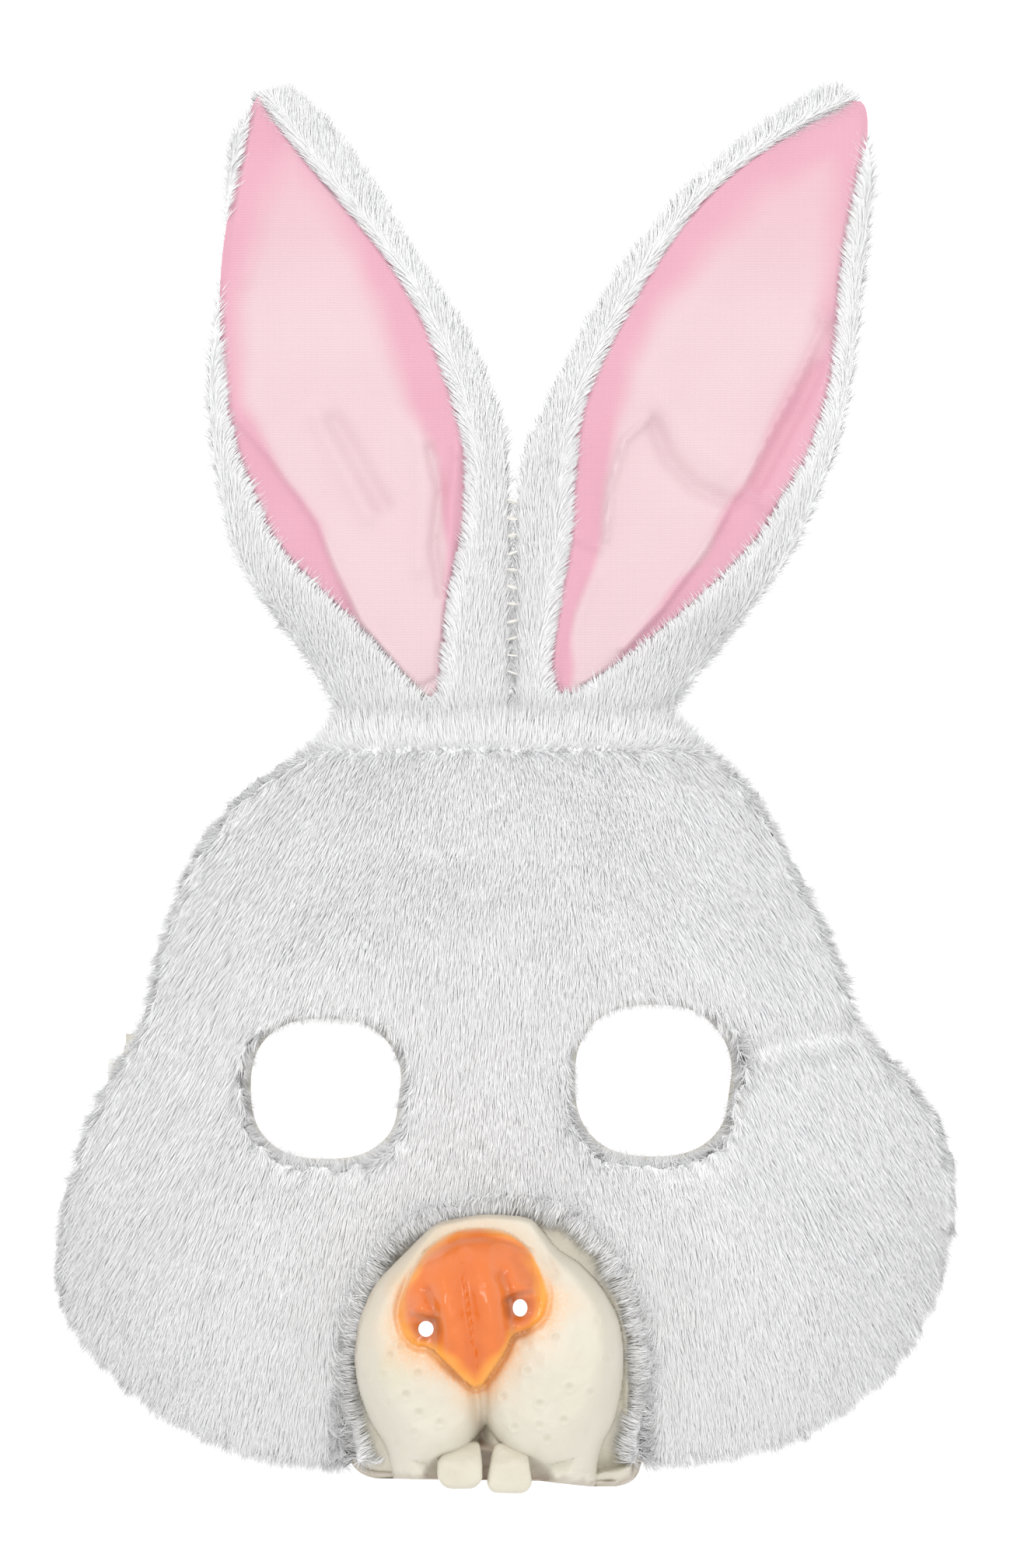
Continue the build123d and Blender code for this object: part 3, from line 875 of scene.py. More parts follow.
for side, ear in ears.items():

    def ear_front(s, x, z):
        """The fur border stands forward and the pocket for the foam lies back."""
        return EAR_MIDDLE_Y - crown(s) * (BORDER - POCKET * smoothstep(ear.satin_depth(x, z), -1.0, 1.6))

    def ear_back(s, x, z):
        """A gently crowned back."""
        return EAR_MIDDLE_Y + 2.4 * crown(s)

    grid = loft_grid(ear.low, ear.high, ear.heights, 34, ear_front, ear_back, side)
    whole = skin_grid(f"whole_ear_{side}", grid)
    for part in PARTS:
        backing = skin_grid(f"ear_backing_{part}_{side}", grid[ear.rows(part)])
        backing.data.materials.append(mat_backing)
        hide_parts(f"ear_plush_{part}_{side}")
        size = np.ptp(points_of(backing), axis=0) + 6
        print(backing.name, "flat", size[0].round(1), "x", size[2].round(1), "mm")
        bottom, top = (EAR_FOOT + 1, EAR_SPLIT) if part == "lower" else (EAR_SPLIT, 400)

        def bare(points, normals):
            """True off the satin, and between this piece's own ends."""
            x, _, z = points.T
            on_satin = (ear.satin_depth(x, z) > 0.2) & (normals[:, 1] < 0.3)
            return ~on_satin & (z > bottom) & (z <= top)

        seed = 20 + 2 * SIDES.index(side) + PARTS.index(part)
        pile = grow_pile(f"ear_pile_{part}_{side}", whole, bare, ear_nap_for(ear), 6.5, 3.8, seed, width=0.25)
        for hairs in pile:
            across_joint(hairs)
        across_joint(backing)
    bpy.data.objects.remove(whole)

# %% [markdown]
# ## Satin linings
# The lining is thin pink satin over a foam leaf. Where the foam presses from behind, the white shows through
# and the pink is paler. The margin is double cloth, so it is deeper pink. The leaf's edge and the pull of the
# stitching raise a few creases, which are strokes drawn on the cloth.

# %% Satin finish
def satin_finish():
    """Pink satin: the leaf attribute chooses between margin and foam-backed cloth."""
    material, shader = finish("pink_satin", 0.45, sheen=0.25)
    tree = material.node_tree
    leaf = tree.nodes.new("ShaderNodeAttribute")
    leaf.attribute_name = "leaf"
    margin = mottle_node(tree, (0.66, 0.345, 0.425), (0.60, 0.285, 0.37), 55, 1500)
    pale = mottle_node(tree, (0.67, 0.50, 0.525), (0.62, 0.44, 0.475), 45, 1500)
    colour = colour_mix(tree, leaf.outputs["Fac"], margin.outputs["Color"], pale.outputs["Color"])
    tree.links.new(colour, shader.inputs["Base Color"])
    bump_into(tree, shader, weave_height(tree, 0.8, 0.55), 0.06)
    return material


mat_satin = satin_finish()

# %% Satin and foam
FOAM_LEAF = {
    "left": [
        (-46, 205), (-36, 192), (-28, 172), (-21, 150), (-13.5, 137), (-11.5, 118), (-12.5, 100), (-15.5, 80),
        (-22, 90), (-30, 101), (-35, 112), (-40, 124), (-50, 138), (-56, 150), (-57, 170), (-53, 192),
    ],
    "right": [
        (73, 204), (60, 198), (47, 185), (37, 171), (29, 158), (26.5, 146), (23.5, 132), (22.5, 118),
        (17.5, 104), (13.5, 80), (21, 88), (27, 96), (35.5, 105), (45, 118), (53.5, 132.5), (64, 152),
        (71.5, 168), (74.5, 188),
    ],
}
# Each crease: its route, its half width and how far it stands forward. A valley is less than 0.
CREASES = {
    "left": [
        ([(-36.5, 145.5), (-30.5, 135), (-26, 127.5)], 2.4, -1.2),
        ([(-40, 147), (-34, 136), (-29, 126)], 2.6, 0.9),
        ([(-57, 146), (-50, 138), (-40, 124), (-35, 112), (-29.6, 101), (-22, 90.5)], 1.1, 0.8),
        ([(-15.5, 140), (-13.2, 131), (-14.6, 118), (-13, 108)], 1.2, -1.1),
        ([(-9.5, 140), (-10.6, 128), (-11, 112), (-12.5, 98)], 1.1, 0.9),
        ([(-18, 144), (-17, 130), (-18, 114)], 2.2, 0.6),
        ([(-19, 86.5), (-13, 89.5)], 0.9, -0.6),
        ([(-52, 196), (-56, 178)], 2.5, 0.5),
    ],
    "right": [
        ([(71.5, 168), (64, 152), (53.5, 132.5), (45, 118), (35.5, 105), (27, 96)], 1.0, 1.0),
        ([(74, 166), (67, 151), (57, 132)], 1.6, -0.8),
        ([(32.5, 146.5), (27.5, 142), (24.3, 132), (23.3, 120)], 0.9, 1.1),
        ([(33.5, 146), (37, 138), (43, 131.5), (51, 128)], 1.7, -1.3),
        ([(37, 150), (42, 142), (50, 136)], 4.0, 1.0),
        ([(15, 121), (22.5, 118)], 0.9, 0.6),
        ([(70, 171), (73, 166), (71, 160)], 1.3, 0.8),
        ([(54, 131), (60, 126)], 1.1, 0.6),
        ([(20, 112), (15.5, 98), (14, 88)], 1.6, 0.6),
    ],
}
SATIN_THICK = 0.45
SATIN_COLUMNS = 72
SATIN_ROWS = {"lower": 64, "upper": 130}


def satin_piece(ear, part):
    """One part of a lining, a grid with its creases, its map and its leaf attribute."""
    ends = (ear.lining_foot + 0.3, EAR_SPLIT) if part == "lower" else (EAR_SPLIT, ear.lining_top - 0.3)
    z_rows = np.linspace(*ends, SATIN_ROWS[part])
    low = np.interp(z_rows, ear.heights, ear.lining_low) + 0.2
    high = np.interp(z_rows, ear.heights, ear.lining_high) - 0.2
    high = np.maximum(high, low + 0.3)
    piece, start = grid_piece(f"ear_satin_{part}_{ear.side}", SATIN_COLUMNS - 1, len(z_rows) - 1)
    across = (start[:, 0] + 1) / 2
    row = np.round((start[:, 1] + 1) / 2 * (len(z_rows) - 1)).astype(int)
    x, z = low[row] + (high - low)[row] * across, z_rows[row]
    edge = np.minimum(x - low[row], high[row] - x)
    soft_edge = 2.0 + 4.0 * smoothstep(z, 125, 175)
    leaf = smoothstep(inside_depth(x, z, FOAM_LEAF[ear.side]), -soft_edge, soft_edge)
    raised = 0.9 * leaf + 0.35 * drift(np.stack([x, z, z], 1), 16.0)[:, 0]
    for route, width, height in CREASES[ear.side]:
        raised += 1.35 * height * stroke(x, z, route, width)
    raised *= smoothstep(edge, 0.0, 3.0)
    tuck = 1.6 * (1 - smoothstep(edge, 0.0, 1.8))
    set_points(piece, ear_bend(np.stack([x, LINING_Y - raised + tuck, z], 1), ear.side))
    thicken(piece, SATIN_THICK, -1.0)
    bpy.ops.object.shade_smooth_by_angle(angle=math.radians(60))
    spots = points_of(piece)
    x, z = spots[:, 0], spots[:, 2]
    wander = 1.5 * drift(np.stack([x, z, x], 1), 9.0)[:, 0]
    edge_softness = 1.2 + 3.5 * smoothstep(z, 125, 175)
    leaf = smoothstep(inside_depth(x, z, FOAM_LEAF[ear.side]) + wander, -edge_softness, edge_softness)
    leaf *= 0.55 + 0.45 * (1 - smoothstep(z, 165, 205))
    piece.data.attributes.new("leaf", "FLOAT", "POINT").data.foreach_set("value", leaf.astype(np.float32))
    map_cloth(piece, spots[:, (0, 2)])
    piece.data.materials.append(mat_satin)
    width, tall = x.max() - x.min(), z.max() - z.min()
    across_joint(piece)
    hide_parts(f"ear_lining_{part}_{ear.side}")
    print(piece.name, "flat", round(width + 4, 1), "x", round(tall + 4, 1), "mm")


def foam_piece(ear, part):
    """The foam sheet between the satin and the back of the ear."""
    heights = ear.heights[ear.rows(part)]
    heights = heights[(heights > ear.lining_foot + 6) & (heights < ear.lining_top - 8)]
    low = np.interp(heights, ear.heights, ear.lining_low) + 3.0
    high = np.interp(heights, ear.heights, ear.lining_high) - 3.0
    middle = (low + high) / 2
    low, high = np.minimum(low, middle - 0.6), np.maximum(high, middle + 0.6)
    ring = loft_grid(
        low, high, heights, 16,
        lambda s, x, z: LINING_Y + 1.8 - 0.3 * crown(s),
        lambda s, x, z: LINING_Y + 1.9 + 0.3 * crown(s),
        ear.side,
    )
    piece = skin_grid(f"ear_foam_sheet_{part}_{ear.side}", ring)
    piece.data.materials.append(mat_foam)
    across_joint(piece)
    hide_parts(f"ear_foam_{part}_{ear.side}")


for ear in ears.values():
    for part in PARTS:
        foam_piece(ear, part)
        satin_piece(ear, part)

# %% [markdown]
# ## Seam stitches
# Thread closes the inner edges of the ears. Each stitch is a small ring that bites into the pile, so a torus
# is modelled once, copied up the seam with a little turn each time, and joined into one piece.

# %% Stitches
box_low, box_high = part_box("ear_seam_stitches")
STITCH_COUNT = 11
stitches = []
for i in range(STITCH_COUNT):
    z = box_low.z + (box_high.z - box_low.z) * i / (STITCH_COUNT - 1)
    curl = 3.0 * smoothstep(z / MM, 95, 140)
    only(floor)
    bpy.ops.mesh.primitive_torus_add(
        major_radius=0.0010,
        minor_radius=0.00022,
        major_segments=20,
        minor_segments=8,
        location=(SEAM_X * MM, box_low.y - (curl - 1.8) * MM, z),
        rotation=(math.radians(12 * math.sin(3 * i)), 0.35 * math.cos(5 * i), 0.2 * math.sin(7 * i)),
    )
    stitches.append(bpy.context.object)
only(stitches[0])
for stitch in stitches[1:]:
    stitch.select_set(True)
bpy.ops.object.join()
seam_stitches = bpy.context.object
bpy.ops.object.transform_apply(location=True, rotation=True, scale=True)
bpy.ops.object.shade_smooth()
seam_stitches.name = seam_stitches.data.name = "seam_stitches"
seam_stitches.data.materials.append(mat_thread)
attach(seam_stitches, "ears")
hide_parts("ear_seam_stitches")

# %% [markdown]
# ## The snout
# The snout is one thin casting: two whisker pads, a nose with a leaf and two nostril wings, jowls beside the
# teeth and a flange that is glued down. It is sculpted as a relief: a fine grid takes its depth from a
# plain form, in which the body rises from the flange and the nose rises from the body. Then grooves, ridges
# and dimples are drawn on it as strokes. The wall comes from Solidify, its back takes a thinner copy of the
# plain form, and the nostrils are cut through.

# %% Snout relief
FLANGE = 2.0
BODY_OUTLINE = [
    (-14.2, -30.0), (-4, -28.2), (6.8, -28.9), (9.6, -32.4), (12.4, -36.2), (17.8, -39.4), (22.8, -45.0),
    (26.2, -51.5), (27.3, -59.5), (26.7, -67), (25.2, -74), (21.8, -80), (20.4, -92), (-22.6, -92),
    (-24.6, -80), (-28.6, -74), (-31.2, -67), (-32.2, -59.5), (-31.2, -51.5), (-27.6, -43.6), (-22.4, -38.4),
    (-18.0, -34.0),
]
NOSE_OUTLINE = [
    (-3.9, -31), (2.1, -32.2), (6.4, -35.7), (9.2, -41), (10.6, -46), (9.6, -50.5), (6.6, -53.2), (2.6, -54.4),
    (1.4, -57.8), (-1.0, -61.6), (-4.9, -67.2), (-10.6, -61.9), (-13.8, -58.6), (-15.6, -57.1), (-18.4, -57.0),
    (-21.0, -54.8), (-22.2, -50.3), (-21.3, -46.2), (-19.4, -40.9), (-15.9, -35.5), (-10.3, -31.8),
]
MOUTH_OUTLINE = [
    (-4.3, -77.4), (-8, -79.6), (-12.5, -80.6), (-16.4, -83.5), (-18.4, -92), (13.8, -92), (11.4, -84.4),
    (7, -81.6), (2, -80.4), (-1.8, -78.8),
]
SLAB_OUTLINE = [(19.4, -86.3), (22, -84.7), (29.2, -83.4), (29.3, -87), (25, -88.2), (20, -88)]
PADS = [(-16.2, -61.5, 15.8, 20.0), (10.6, -61.0, 16.4, 20.8)]
LEAF_GROOVES = {
    "left": [(-15.8, -45.0), (-14.0, -49.5), (-13.7, -53.5), (-14.4, -58.0)],
    "right": [(0.4, -41.5), (1.8, -46.0), (2.2, -50.5), (2.7, -54.0)],
}
NOSTRIL_LIDS = {
    "left": [(-19.4, -50.0), (-17.2, -50.4), (-14.6, -51.2)],
    "right": [(1.6, -47.0), (3.9, -45.7), (6.8, -45.0)],
}
NOSTRILS = {"left": (-16.2, -53.2, 1.65, 1.75), "right": (4.4, -48.6, 1.6, 1.9)}
NOSE_RIDGE = [(-9.0, -33.5), (-8.4, -39.1), (-6.9, -49), (-5.6, -57.6), (-4.9, -65.2)]
PHILTRUM = [(-4.9, -66.5), (-4.5, -71), (-4.2, -78)]
DIMPLES = [
    (-24.1, -58.9), (-21.7, -56.9), (-29.6, -63.4), (-25.6, -63.4), (-17.9, -62.9), (-20.6, -67.6),
    (-24.4, -69.5), (-17.8, -71.5), (-13.2, -73.7), (-18.9, -76.0), (-22.7, -78.1), (12.1, -55.0),
    (21.3, -51.4), (15.2, -65.9), (19.8, -67.2), (0.7, -68.0), (8.7, -69.6), (14.0, -73.2), (3.1, -74.8),
    (8.7, -74.3), (10.3, -77.3), (19.0, -75.6), (5.9, -62.3), (23.5, -59.7),
]


def rounded(outline):
    """An outline with its corners cut twice, so that it runs smoothly."""
    corners = np.asarray(outline, float)
    for _ in range(2):
        nexts = np.roll(corners, -1, axis=0)
        corners = np.stack([0.8 * corners + 0.2 * nexts, 0.2 * corners + 0.8 * nexts], 1).reshape(-1, 2)
    return corners


def quarter_round(depth, reach):
    """Rises like a quarter circle from 0 at depth 0 to 1 at reach."""
    return np.sqrt(1 - (1 - np.clip(depth / reach, 0, 1)) ** 2)


def soft_low(a, b, width):
    """The lower of two heights, with a soft turn between them."""
    part = np.clip(0.5 + 0.5 * (b - a) / width, 0, 1)
    return b * (1 - part) + a * part - width * part * (1 - part)


nose_outline = rounded(NOSE_OUTLINE)
body_outline = rounded(BODY_OUTLINE)
mouth_outline = rounded(MOUTH_OUTLINE)


def snout_form(x, z, thinner=0.0):
    """How far in front of the face's plane the snout's plain form reaches, made smaller all round by thinner."""
    flange = FLANGE - skin_depth(x, z)
    pads = [np.exp(-(((x - cx) / 11.5) ** 2) - ((z - cz) / 14.0) ** 2) for cx, cz, _, _ in PADS]
    forward = 29.6 + 6.6 * pads[0] + 6.6 * pads[1]
    forward -= 10.0 * (1 - smoothstep(-z, 27, 46))
    full = smoothstep(z, -68, -58)
    for cx, cz, rx, rz in PADS:
        r = np.hypot((x - cx) / (rx - thinner), (z - cz) / (rz - thinner))
        full = np.maximum(full, quarter_round(1.05 - r, 0.42))
    forward = 21.5 + (forward - 21.5) * full
    mouth = smoothstep(inside_depth(x, z, mouth_outline) + thinner, -0.5, 1.5)
    forward = forward * (1 - mouth) + (17.5 + 7.5 * smoothstep(z, -83.5, -79)) * mouth
    edge = inside_depth(x, z, body_outline) - thinner
    body = soft_low(40 * quarter_round(edge, 17.0), forward - thinner - flange, 3.0) * (edge > 0)
    depth = inside_depth(x, z, nose_outline) - thinner
    away = x + 8.9 - 0.13 * (-34 - z)
    down = (-32 - z) / 34
    nose = 41.6 - 11 * np.clip((0.52 - down) / 0.52, 0, 1) ** 2.0
    nose -= 6.5 * np.clip((down - 0.5) / 0.5, 0, 1) ** 1.7
    nose -= 6.0 * (np.abs(away) / 12) ** 2.2
    nose += 1.1 * np.exp(-(((np.abs(away) - 4.8) / 2.8) ** 2))
    for (hx, hz, _, _), out in zip(NOSTRILS.values(), (-1, 1)):
        nose += 3.6 * np.exp(-(((x - hx - 1.2 * out) / 4.2) ** 2) - ((z - hz - 2.5) / 4.6) ** 2)
    step = body + (1.3 + 11.5 * quarter_round(depth, 10.0)) * (depth > 0)
    return np.maximum(body, 0) + np.where(
        depth > 0, np.maximum(soft_low(nose - thinner - flange, step, 1.5) - body, 0), 0
    )


def snout_detail(x, z):
    """Grooves, ridges, nostril pits, dimples and the unevenness of a cast, added to the plain form."""
    depth = inside_depth(x, z, nose_outline)
    on_nose = smoothstep(depth, -0.2, 0.8)
    relief = -0.8 * np.exp(-(((depth + 0.5) / 0.7) ** 2)) * smoothstep(-z, 38, 46)
    for side, (hx, hz, _, _) in NOSTRILS.items():
        r = np.hypot(x - hx, z - hz)
        out = -1 if side == "left" else 1
        lobe = smoothstep(out * (x - hx) - 0.4 * (z - hz), -2.5, 1.5) * on_nose
        relief += 1.2 * np.exp(-(((r - 4.3) / 1.6) ** 2)) * lobe
        relief -= 4.2 * np.exp(-((r / 2.7) ** 2))
        relief -= 1.8 * stroke(x, z, LEAF_GROOVES[side], 1.4) * on_nose
        relief -= 1.2 * stroke(x, z, NOSTRIL_LIDS[side], 0.9)
    relief += (0.8 * stroke(x, z, NOSE_RIDGE[1:], 0.45) - 1.3 * stroke(x, z, NOSE_RIDGE, 2.0)) * on_nose
    lip = smoothstep(-z, 64, 76)
    relief -= (2.2 + 1.6 * lip) * stroke(x, z, PHILTRUM, 1.9) * (1 - on_nose)
    relief += 0.6 * stroke(x, z, PHILTRUM, 0.4) * (1 - on_nose)
    relief -= 1.2 * stroke(x, z, [(8.3, -29), (9.6, -36), (11.5, -41)], 1.2)
    relief -= 0.9 * stroke(x, z, [(-16, -36.8), (-9, -33.6), (-4, -33.2), (2, -33.9), (6.4, -36.2)], 0.8)
    for dx, dz in DIMPLES:
        r = np.hypot(x - dx, z - dz)
        relief += 0.3 * np.exp(-(((r - 1.15) / 0.4) ** 2)) - 0.38 * np.exp(-((r / 0.7) ** 2))
    lumps = drift(np.stack([x, z, x], 1), 6.0)[:, 0] * 0.4 + drift(np.stack([x, z, z], 1), 1.7)[:, 1] * 0.08
    return relief + lumps


def flange_relief(x, z, edge):
    """The flange's raised lip on the right, its slab at the bottom right and its uneven cast edge."""
    right = smoothstep(x, 12, 20) * smoothstep(-z, 42, 50)
    lip = 1.3 * np.exp(-(((edge - 3.0) / 0.8) ** 2)) * right
    slab_in = inside_depth(x, z, SLAB_OUTLINE)
    slab = 3.2 * smoothstep(slab_in, -0.2, 0.8) - 1.1 * np.exp(-(((z + 87.1) / 0.3) ** 2)) * (slab_in > 0)
    return lip + slab + 0.25 * drift(np.stack([x, z, x], 1), 2.5)[:, 2]


# %% Snout mesh
SNAP_REACH = 0.36
SNOUT_WALL = 2.0
low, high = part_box("muzzle")
snout, start = grid_piece("snout", 208, 200)
x = (low.x + high.x) / 2 / MM + start[:, 0] * ((high.x - low.x) / 2 / MM + 0.3)
z = (low.z + high.z) / 2 / MM + start[:, 1] * ((high.z - low.z) / 2 / MM + 0.3)
edge = inside_depth(x, z, snout_outline)
closed_outline = np.concatenate([snout_outline, snout_outline[:1]])
steps = np.concatenate(
    [np.linspace(a, b, 4, endpoint=False) for a, b in zip(closed_outline, closed_outline[1:])]
)
for i in np.where((edge < 0) & (edge > -SNAP_REACH))[0]:
    x[i], z[i] = steps[np.argmin(np.hypot(steps[:, 0] - x[i], steps[:, 1] - z[i]))]
set_points(snout, np.stack([x, np.zeros_like(x), z], 1))
delete_points(snout, edge <= -SNAP_REACH)
spots = points_of(snout)
x, z = spots[:, 0], spots[:, 2]
edge = np.maximum(inside_depth(x, z, snout_outline), 0)
plain = snout_form(x, z)
height = np.maximum(plain + snout_detail(x, z) * smoothstep(plain, 0.5, 3.0), 0)
height += flange_relief(x, z, edge)
y_front = skin_depth(x, z) - FLANGE - height * smoothstep(edge, -0.1, 0.5)
y_back = np.minimum(skin_depth(x, z) - 0.1, skin_depth(x, z) - FLANGE - snout_form(x, z, 1.9) + 0.4)
y_back = np.maximum(y_back, y_front + 1.2)
set_points(snout, np.stack([x, y_front, z], 1))
thicken(snout, SNOUT_WALL, -1.0)
spots = points_of(snout)
count = len(x)
spots[count : 2 * count] = np.stack([x, y_back, z], 1)
set_points(snout, spots)
print("snout front:", round(float(y_front.min()), 1), "faces:", len(snout.data.polygons))

# %% Nostrils
for hx, hz, rx, rz in NOSTRILS.values():
    only(floor)
    bpy.ops.mesh.primitive_cylinder_add(vertices=40, radius=1, depth=2, rotation=(math.pi / 2, 0, 0))
    cutter = bpy.context.object
    bpy.ops.object.transform_apply(rotation=True)
    cutter.scale = (rx * MM, 60 * MM, rz * MM)
    cutter.location = (hx * MM, -20 * MM, hz * MM)
    bpy.ops.object.transform_apply(location=True, scale=True)
    hole = snout.modifiers.new("nostril", "BOOLEAN")
    hole.operation = "DIFFERENCE"
    hole.solver = "EXACT"
    hole.object = cutter
    apply_all(snout)
    bpy.data.objects.remove(cutter)
bpy.ops.object.shade_smooth_by_angle(angle=math.radians(50))
print("snout faces with nostrils:", len(snout.data.polygons))

# %% [markdown]
# ## Paint on the snout
# The nose is sprayed orange: deeper in its middle, yellower at its rim, with a haze of overspray on the pads.
# Those areas, the stains, soiling along the border and painted shade in the creases, pits, dimples and mouth are
# worked out for each point of the casting and kept as a colour attribute, which the shader breaks up with fine
# noise.

# %% Paint attribute and finish
def paint_piece(piece):
    """Red is nose paint, green is darkening: painted shade in the mouth, the pits, the creases and the dimples,
    with soiling along the border. Blue is how far inside the nose a point is.
    """
    spots = points_of(piece)
    x, z = spots[:, 0], spots[:, 2]
    nose = inside_depth(x, z, nose_outline)
    lower = 0.25 + 0.75 * smoothstep(-z, 38, 48)
    reach = 2.6 + 1.0 * drift(spots, 6.0)[:, 0]
    haze = 0.85 * np.exp(np.minimum(nose, 0) / reach) * lower
    sprayed = np.maximum(smoothstep(nose, -0.3, 0.35), haze)
    nose_step = smoothstep(nose + 1.6 * drift(spots, 5.0)[:, 1], -0.2, 2.8)
    edge = inside_depth(x, z, snout_outline)
    border = 1 - smoothstep(edge + 0.8 * drift(spots, 2.0)[:, 0], 0.4, 2.4)
    mouth = smoothstep(inside_depth(x, z, mouth_outline), -1.0, 1.2)
    # Painted shade in the gap between the teeth.
    mouth_gap_shade = mouth * np.exp(-(((x + 3.2) / 3.0) ** 2))
    # Painted shade in the nostril pits, the leaf grooves and under the nostril lids.
    pits = np.zeros_like(x)
    for hx, hz, _, _ in NOSTRILS.values():
        pits += np.exp(-((np.hypot(x - hx, z - hz) / 2.3) ** 2))
    for side in SIDES:
        pits += 0.35 * stroke(x, z, LEAF_GROOVES[side], 0.8) + 0.5 * stroke(x, z, NOSTRIL_LIDS[side], 0.7)
    # Painted shade in each dimple.
    dimples = sum(np.exp(-((np.hypot(x - dx, z - dz) / 0.5) ** 2)) for dx, dz in DIMPLES)
    # This darkening is painted shade, except the border's part, which is soiling.
    smudge_and_shade = 0.4 * border + 0.3 * mouth + 0.45 * mouth_gap_shade + 0.6 * pits + 0.06 * dimples
    # Painted shade in the philtrum's groove, low down.
    smudge_and_shade += 0.5 * stroke(x, z, PHILTRUM, 0.8) * smoothstep(-z, 70, 77)
    smudge_and_shade = np.clip(smudge_and_shade, 0, 1)
    colour = np.stack([sprayed, smudge_and_shade, nose_step, np.ones_like(x)], 1).astype(np.float32)
    piece.data.attributes.new("paint", "FLOAT_COLOR", "POINT").data.foreach_set("color", colour.ravel())


def snout_finish():
    """Cream latex with sprayed orange, painted shade in its hollows, soiling along its border and faint green
    stains.
    """
    material, shader = finish("painted_latex", 0.5)
    tree = material.node_tree
    paint = tree.nodes.new("ShaderNodeAttribute")
    paint.attribute_name = "paint"
    split = tree.nodes.new("ShaderNodeSeparateColor")
    tree.links.new(paint.outputs["Color"], split.inputs["Color"])
    sprayed, smudge_and_shade, inner = split.outputs
    latex = mottle_node(tree, (0.66, 0.63, 0.54), (0.58, 0.54, 0.44), 70, 1100)
    speck = mottle_node(tree, (1, 1, 1), (0, 0, 0), 1700, 3500)
    stain = mottle_node(tree, (1, 1, 1), (0, 0, 0), 33, 90)
    stained = maths(tree, "MAXIMUM", maths(tree, "SUBTRACT", stain.outputs["Mask"], 0.56), 0.0)
    stained = maths(tree, "MULTIPLY", maths(tree, "SMOOTH_MIN", stained, 0.1, 0.05), 2.2)
    base = colour_mix(tree, stained, latex.outputs["Color"], (0.60, 0.59, 0.36, 1))
    scatter = maths(tree, "MULTIPLY", maths(tree, "SUBTRACT", speck.outputs["Mask"], 0.5), 1.1)
    partial = maths(tree, "MULTIPLY", sprayed, maths(tree, "SUBTRACT", 1.0, sprayed))
    partial = maths(tree, "MULTIPLY", partial, 3.0)
    broken = maths(tree, "ADD", sprayed, maths(tree, "MULTIPLY", scatter, partial))
    orange = colour_mix(tree, inner, (0.88, 0.37, 0.025, 1), (0.66, 0.135, 0.006, 1))
    worn = mottle_node(tree, (0.82, 0.24, 0.02), (0.52, 0.09, 0.006), 120, 700)
    orange = colour_mix(tree, 0.25, orange, worn.outputs["Color"])
    painted = colour_mix(tree, broken, base, orange)
    # Painted shade and border soiling pull the colour to dark brown.
    darkening = maths(tree, "MULTIPLY", smudge_and_shade, maths(tree, "ADD", 0.45, latex.outputs["Mask"]))
    tree.links.new(colour_mix(tree, darkening, painted, (0.20, 0.12, 0.08, 1)), shader.inputs["Base Color"])
    gloss = maths(tree, "SUBTRACT", 0.52, maths(tree, "MULTIPLY", sprayed, 0.24))
    tree.links.new(gloss, shader.inputs["Roughness"])
    tree.links.new(maths(tree, "MULTIPLY", sprayed, 0.5), shader.inputs["Coat Weight"])
    shader.inputs["Coat Roughness"].default_value = 0.22
    bump_into(tree, shader, latex.outputs["Height"], 0.12)
    return material


paint_piece(snout)
mat_snout = snout_finish()
snout.data.materials.clear()
snout.data.materials.append(mat_snout)
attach(snout, "mask")
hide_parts("muzzle")

# %% [markdown]
# ## Teeth
# Each front tooth is a small cast block. A cube is rounded into a soft block, its sides are set by the
# width at a few heights, its top leans back under the lip, and it is worn by shallow dents.

# %% Teeth
mat_tooth = mottled("tooth_latex", (0.64, 0.61, 0.51), (0.54, 0.50, 0.40), 170, 1300, 0.12, 0.42)
TOOTH_SQUARENESS = 5.5
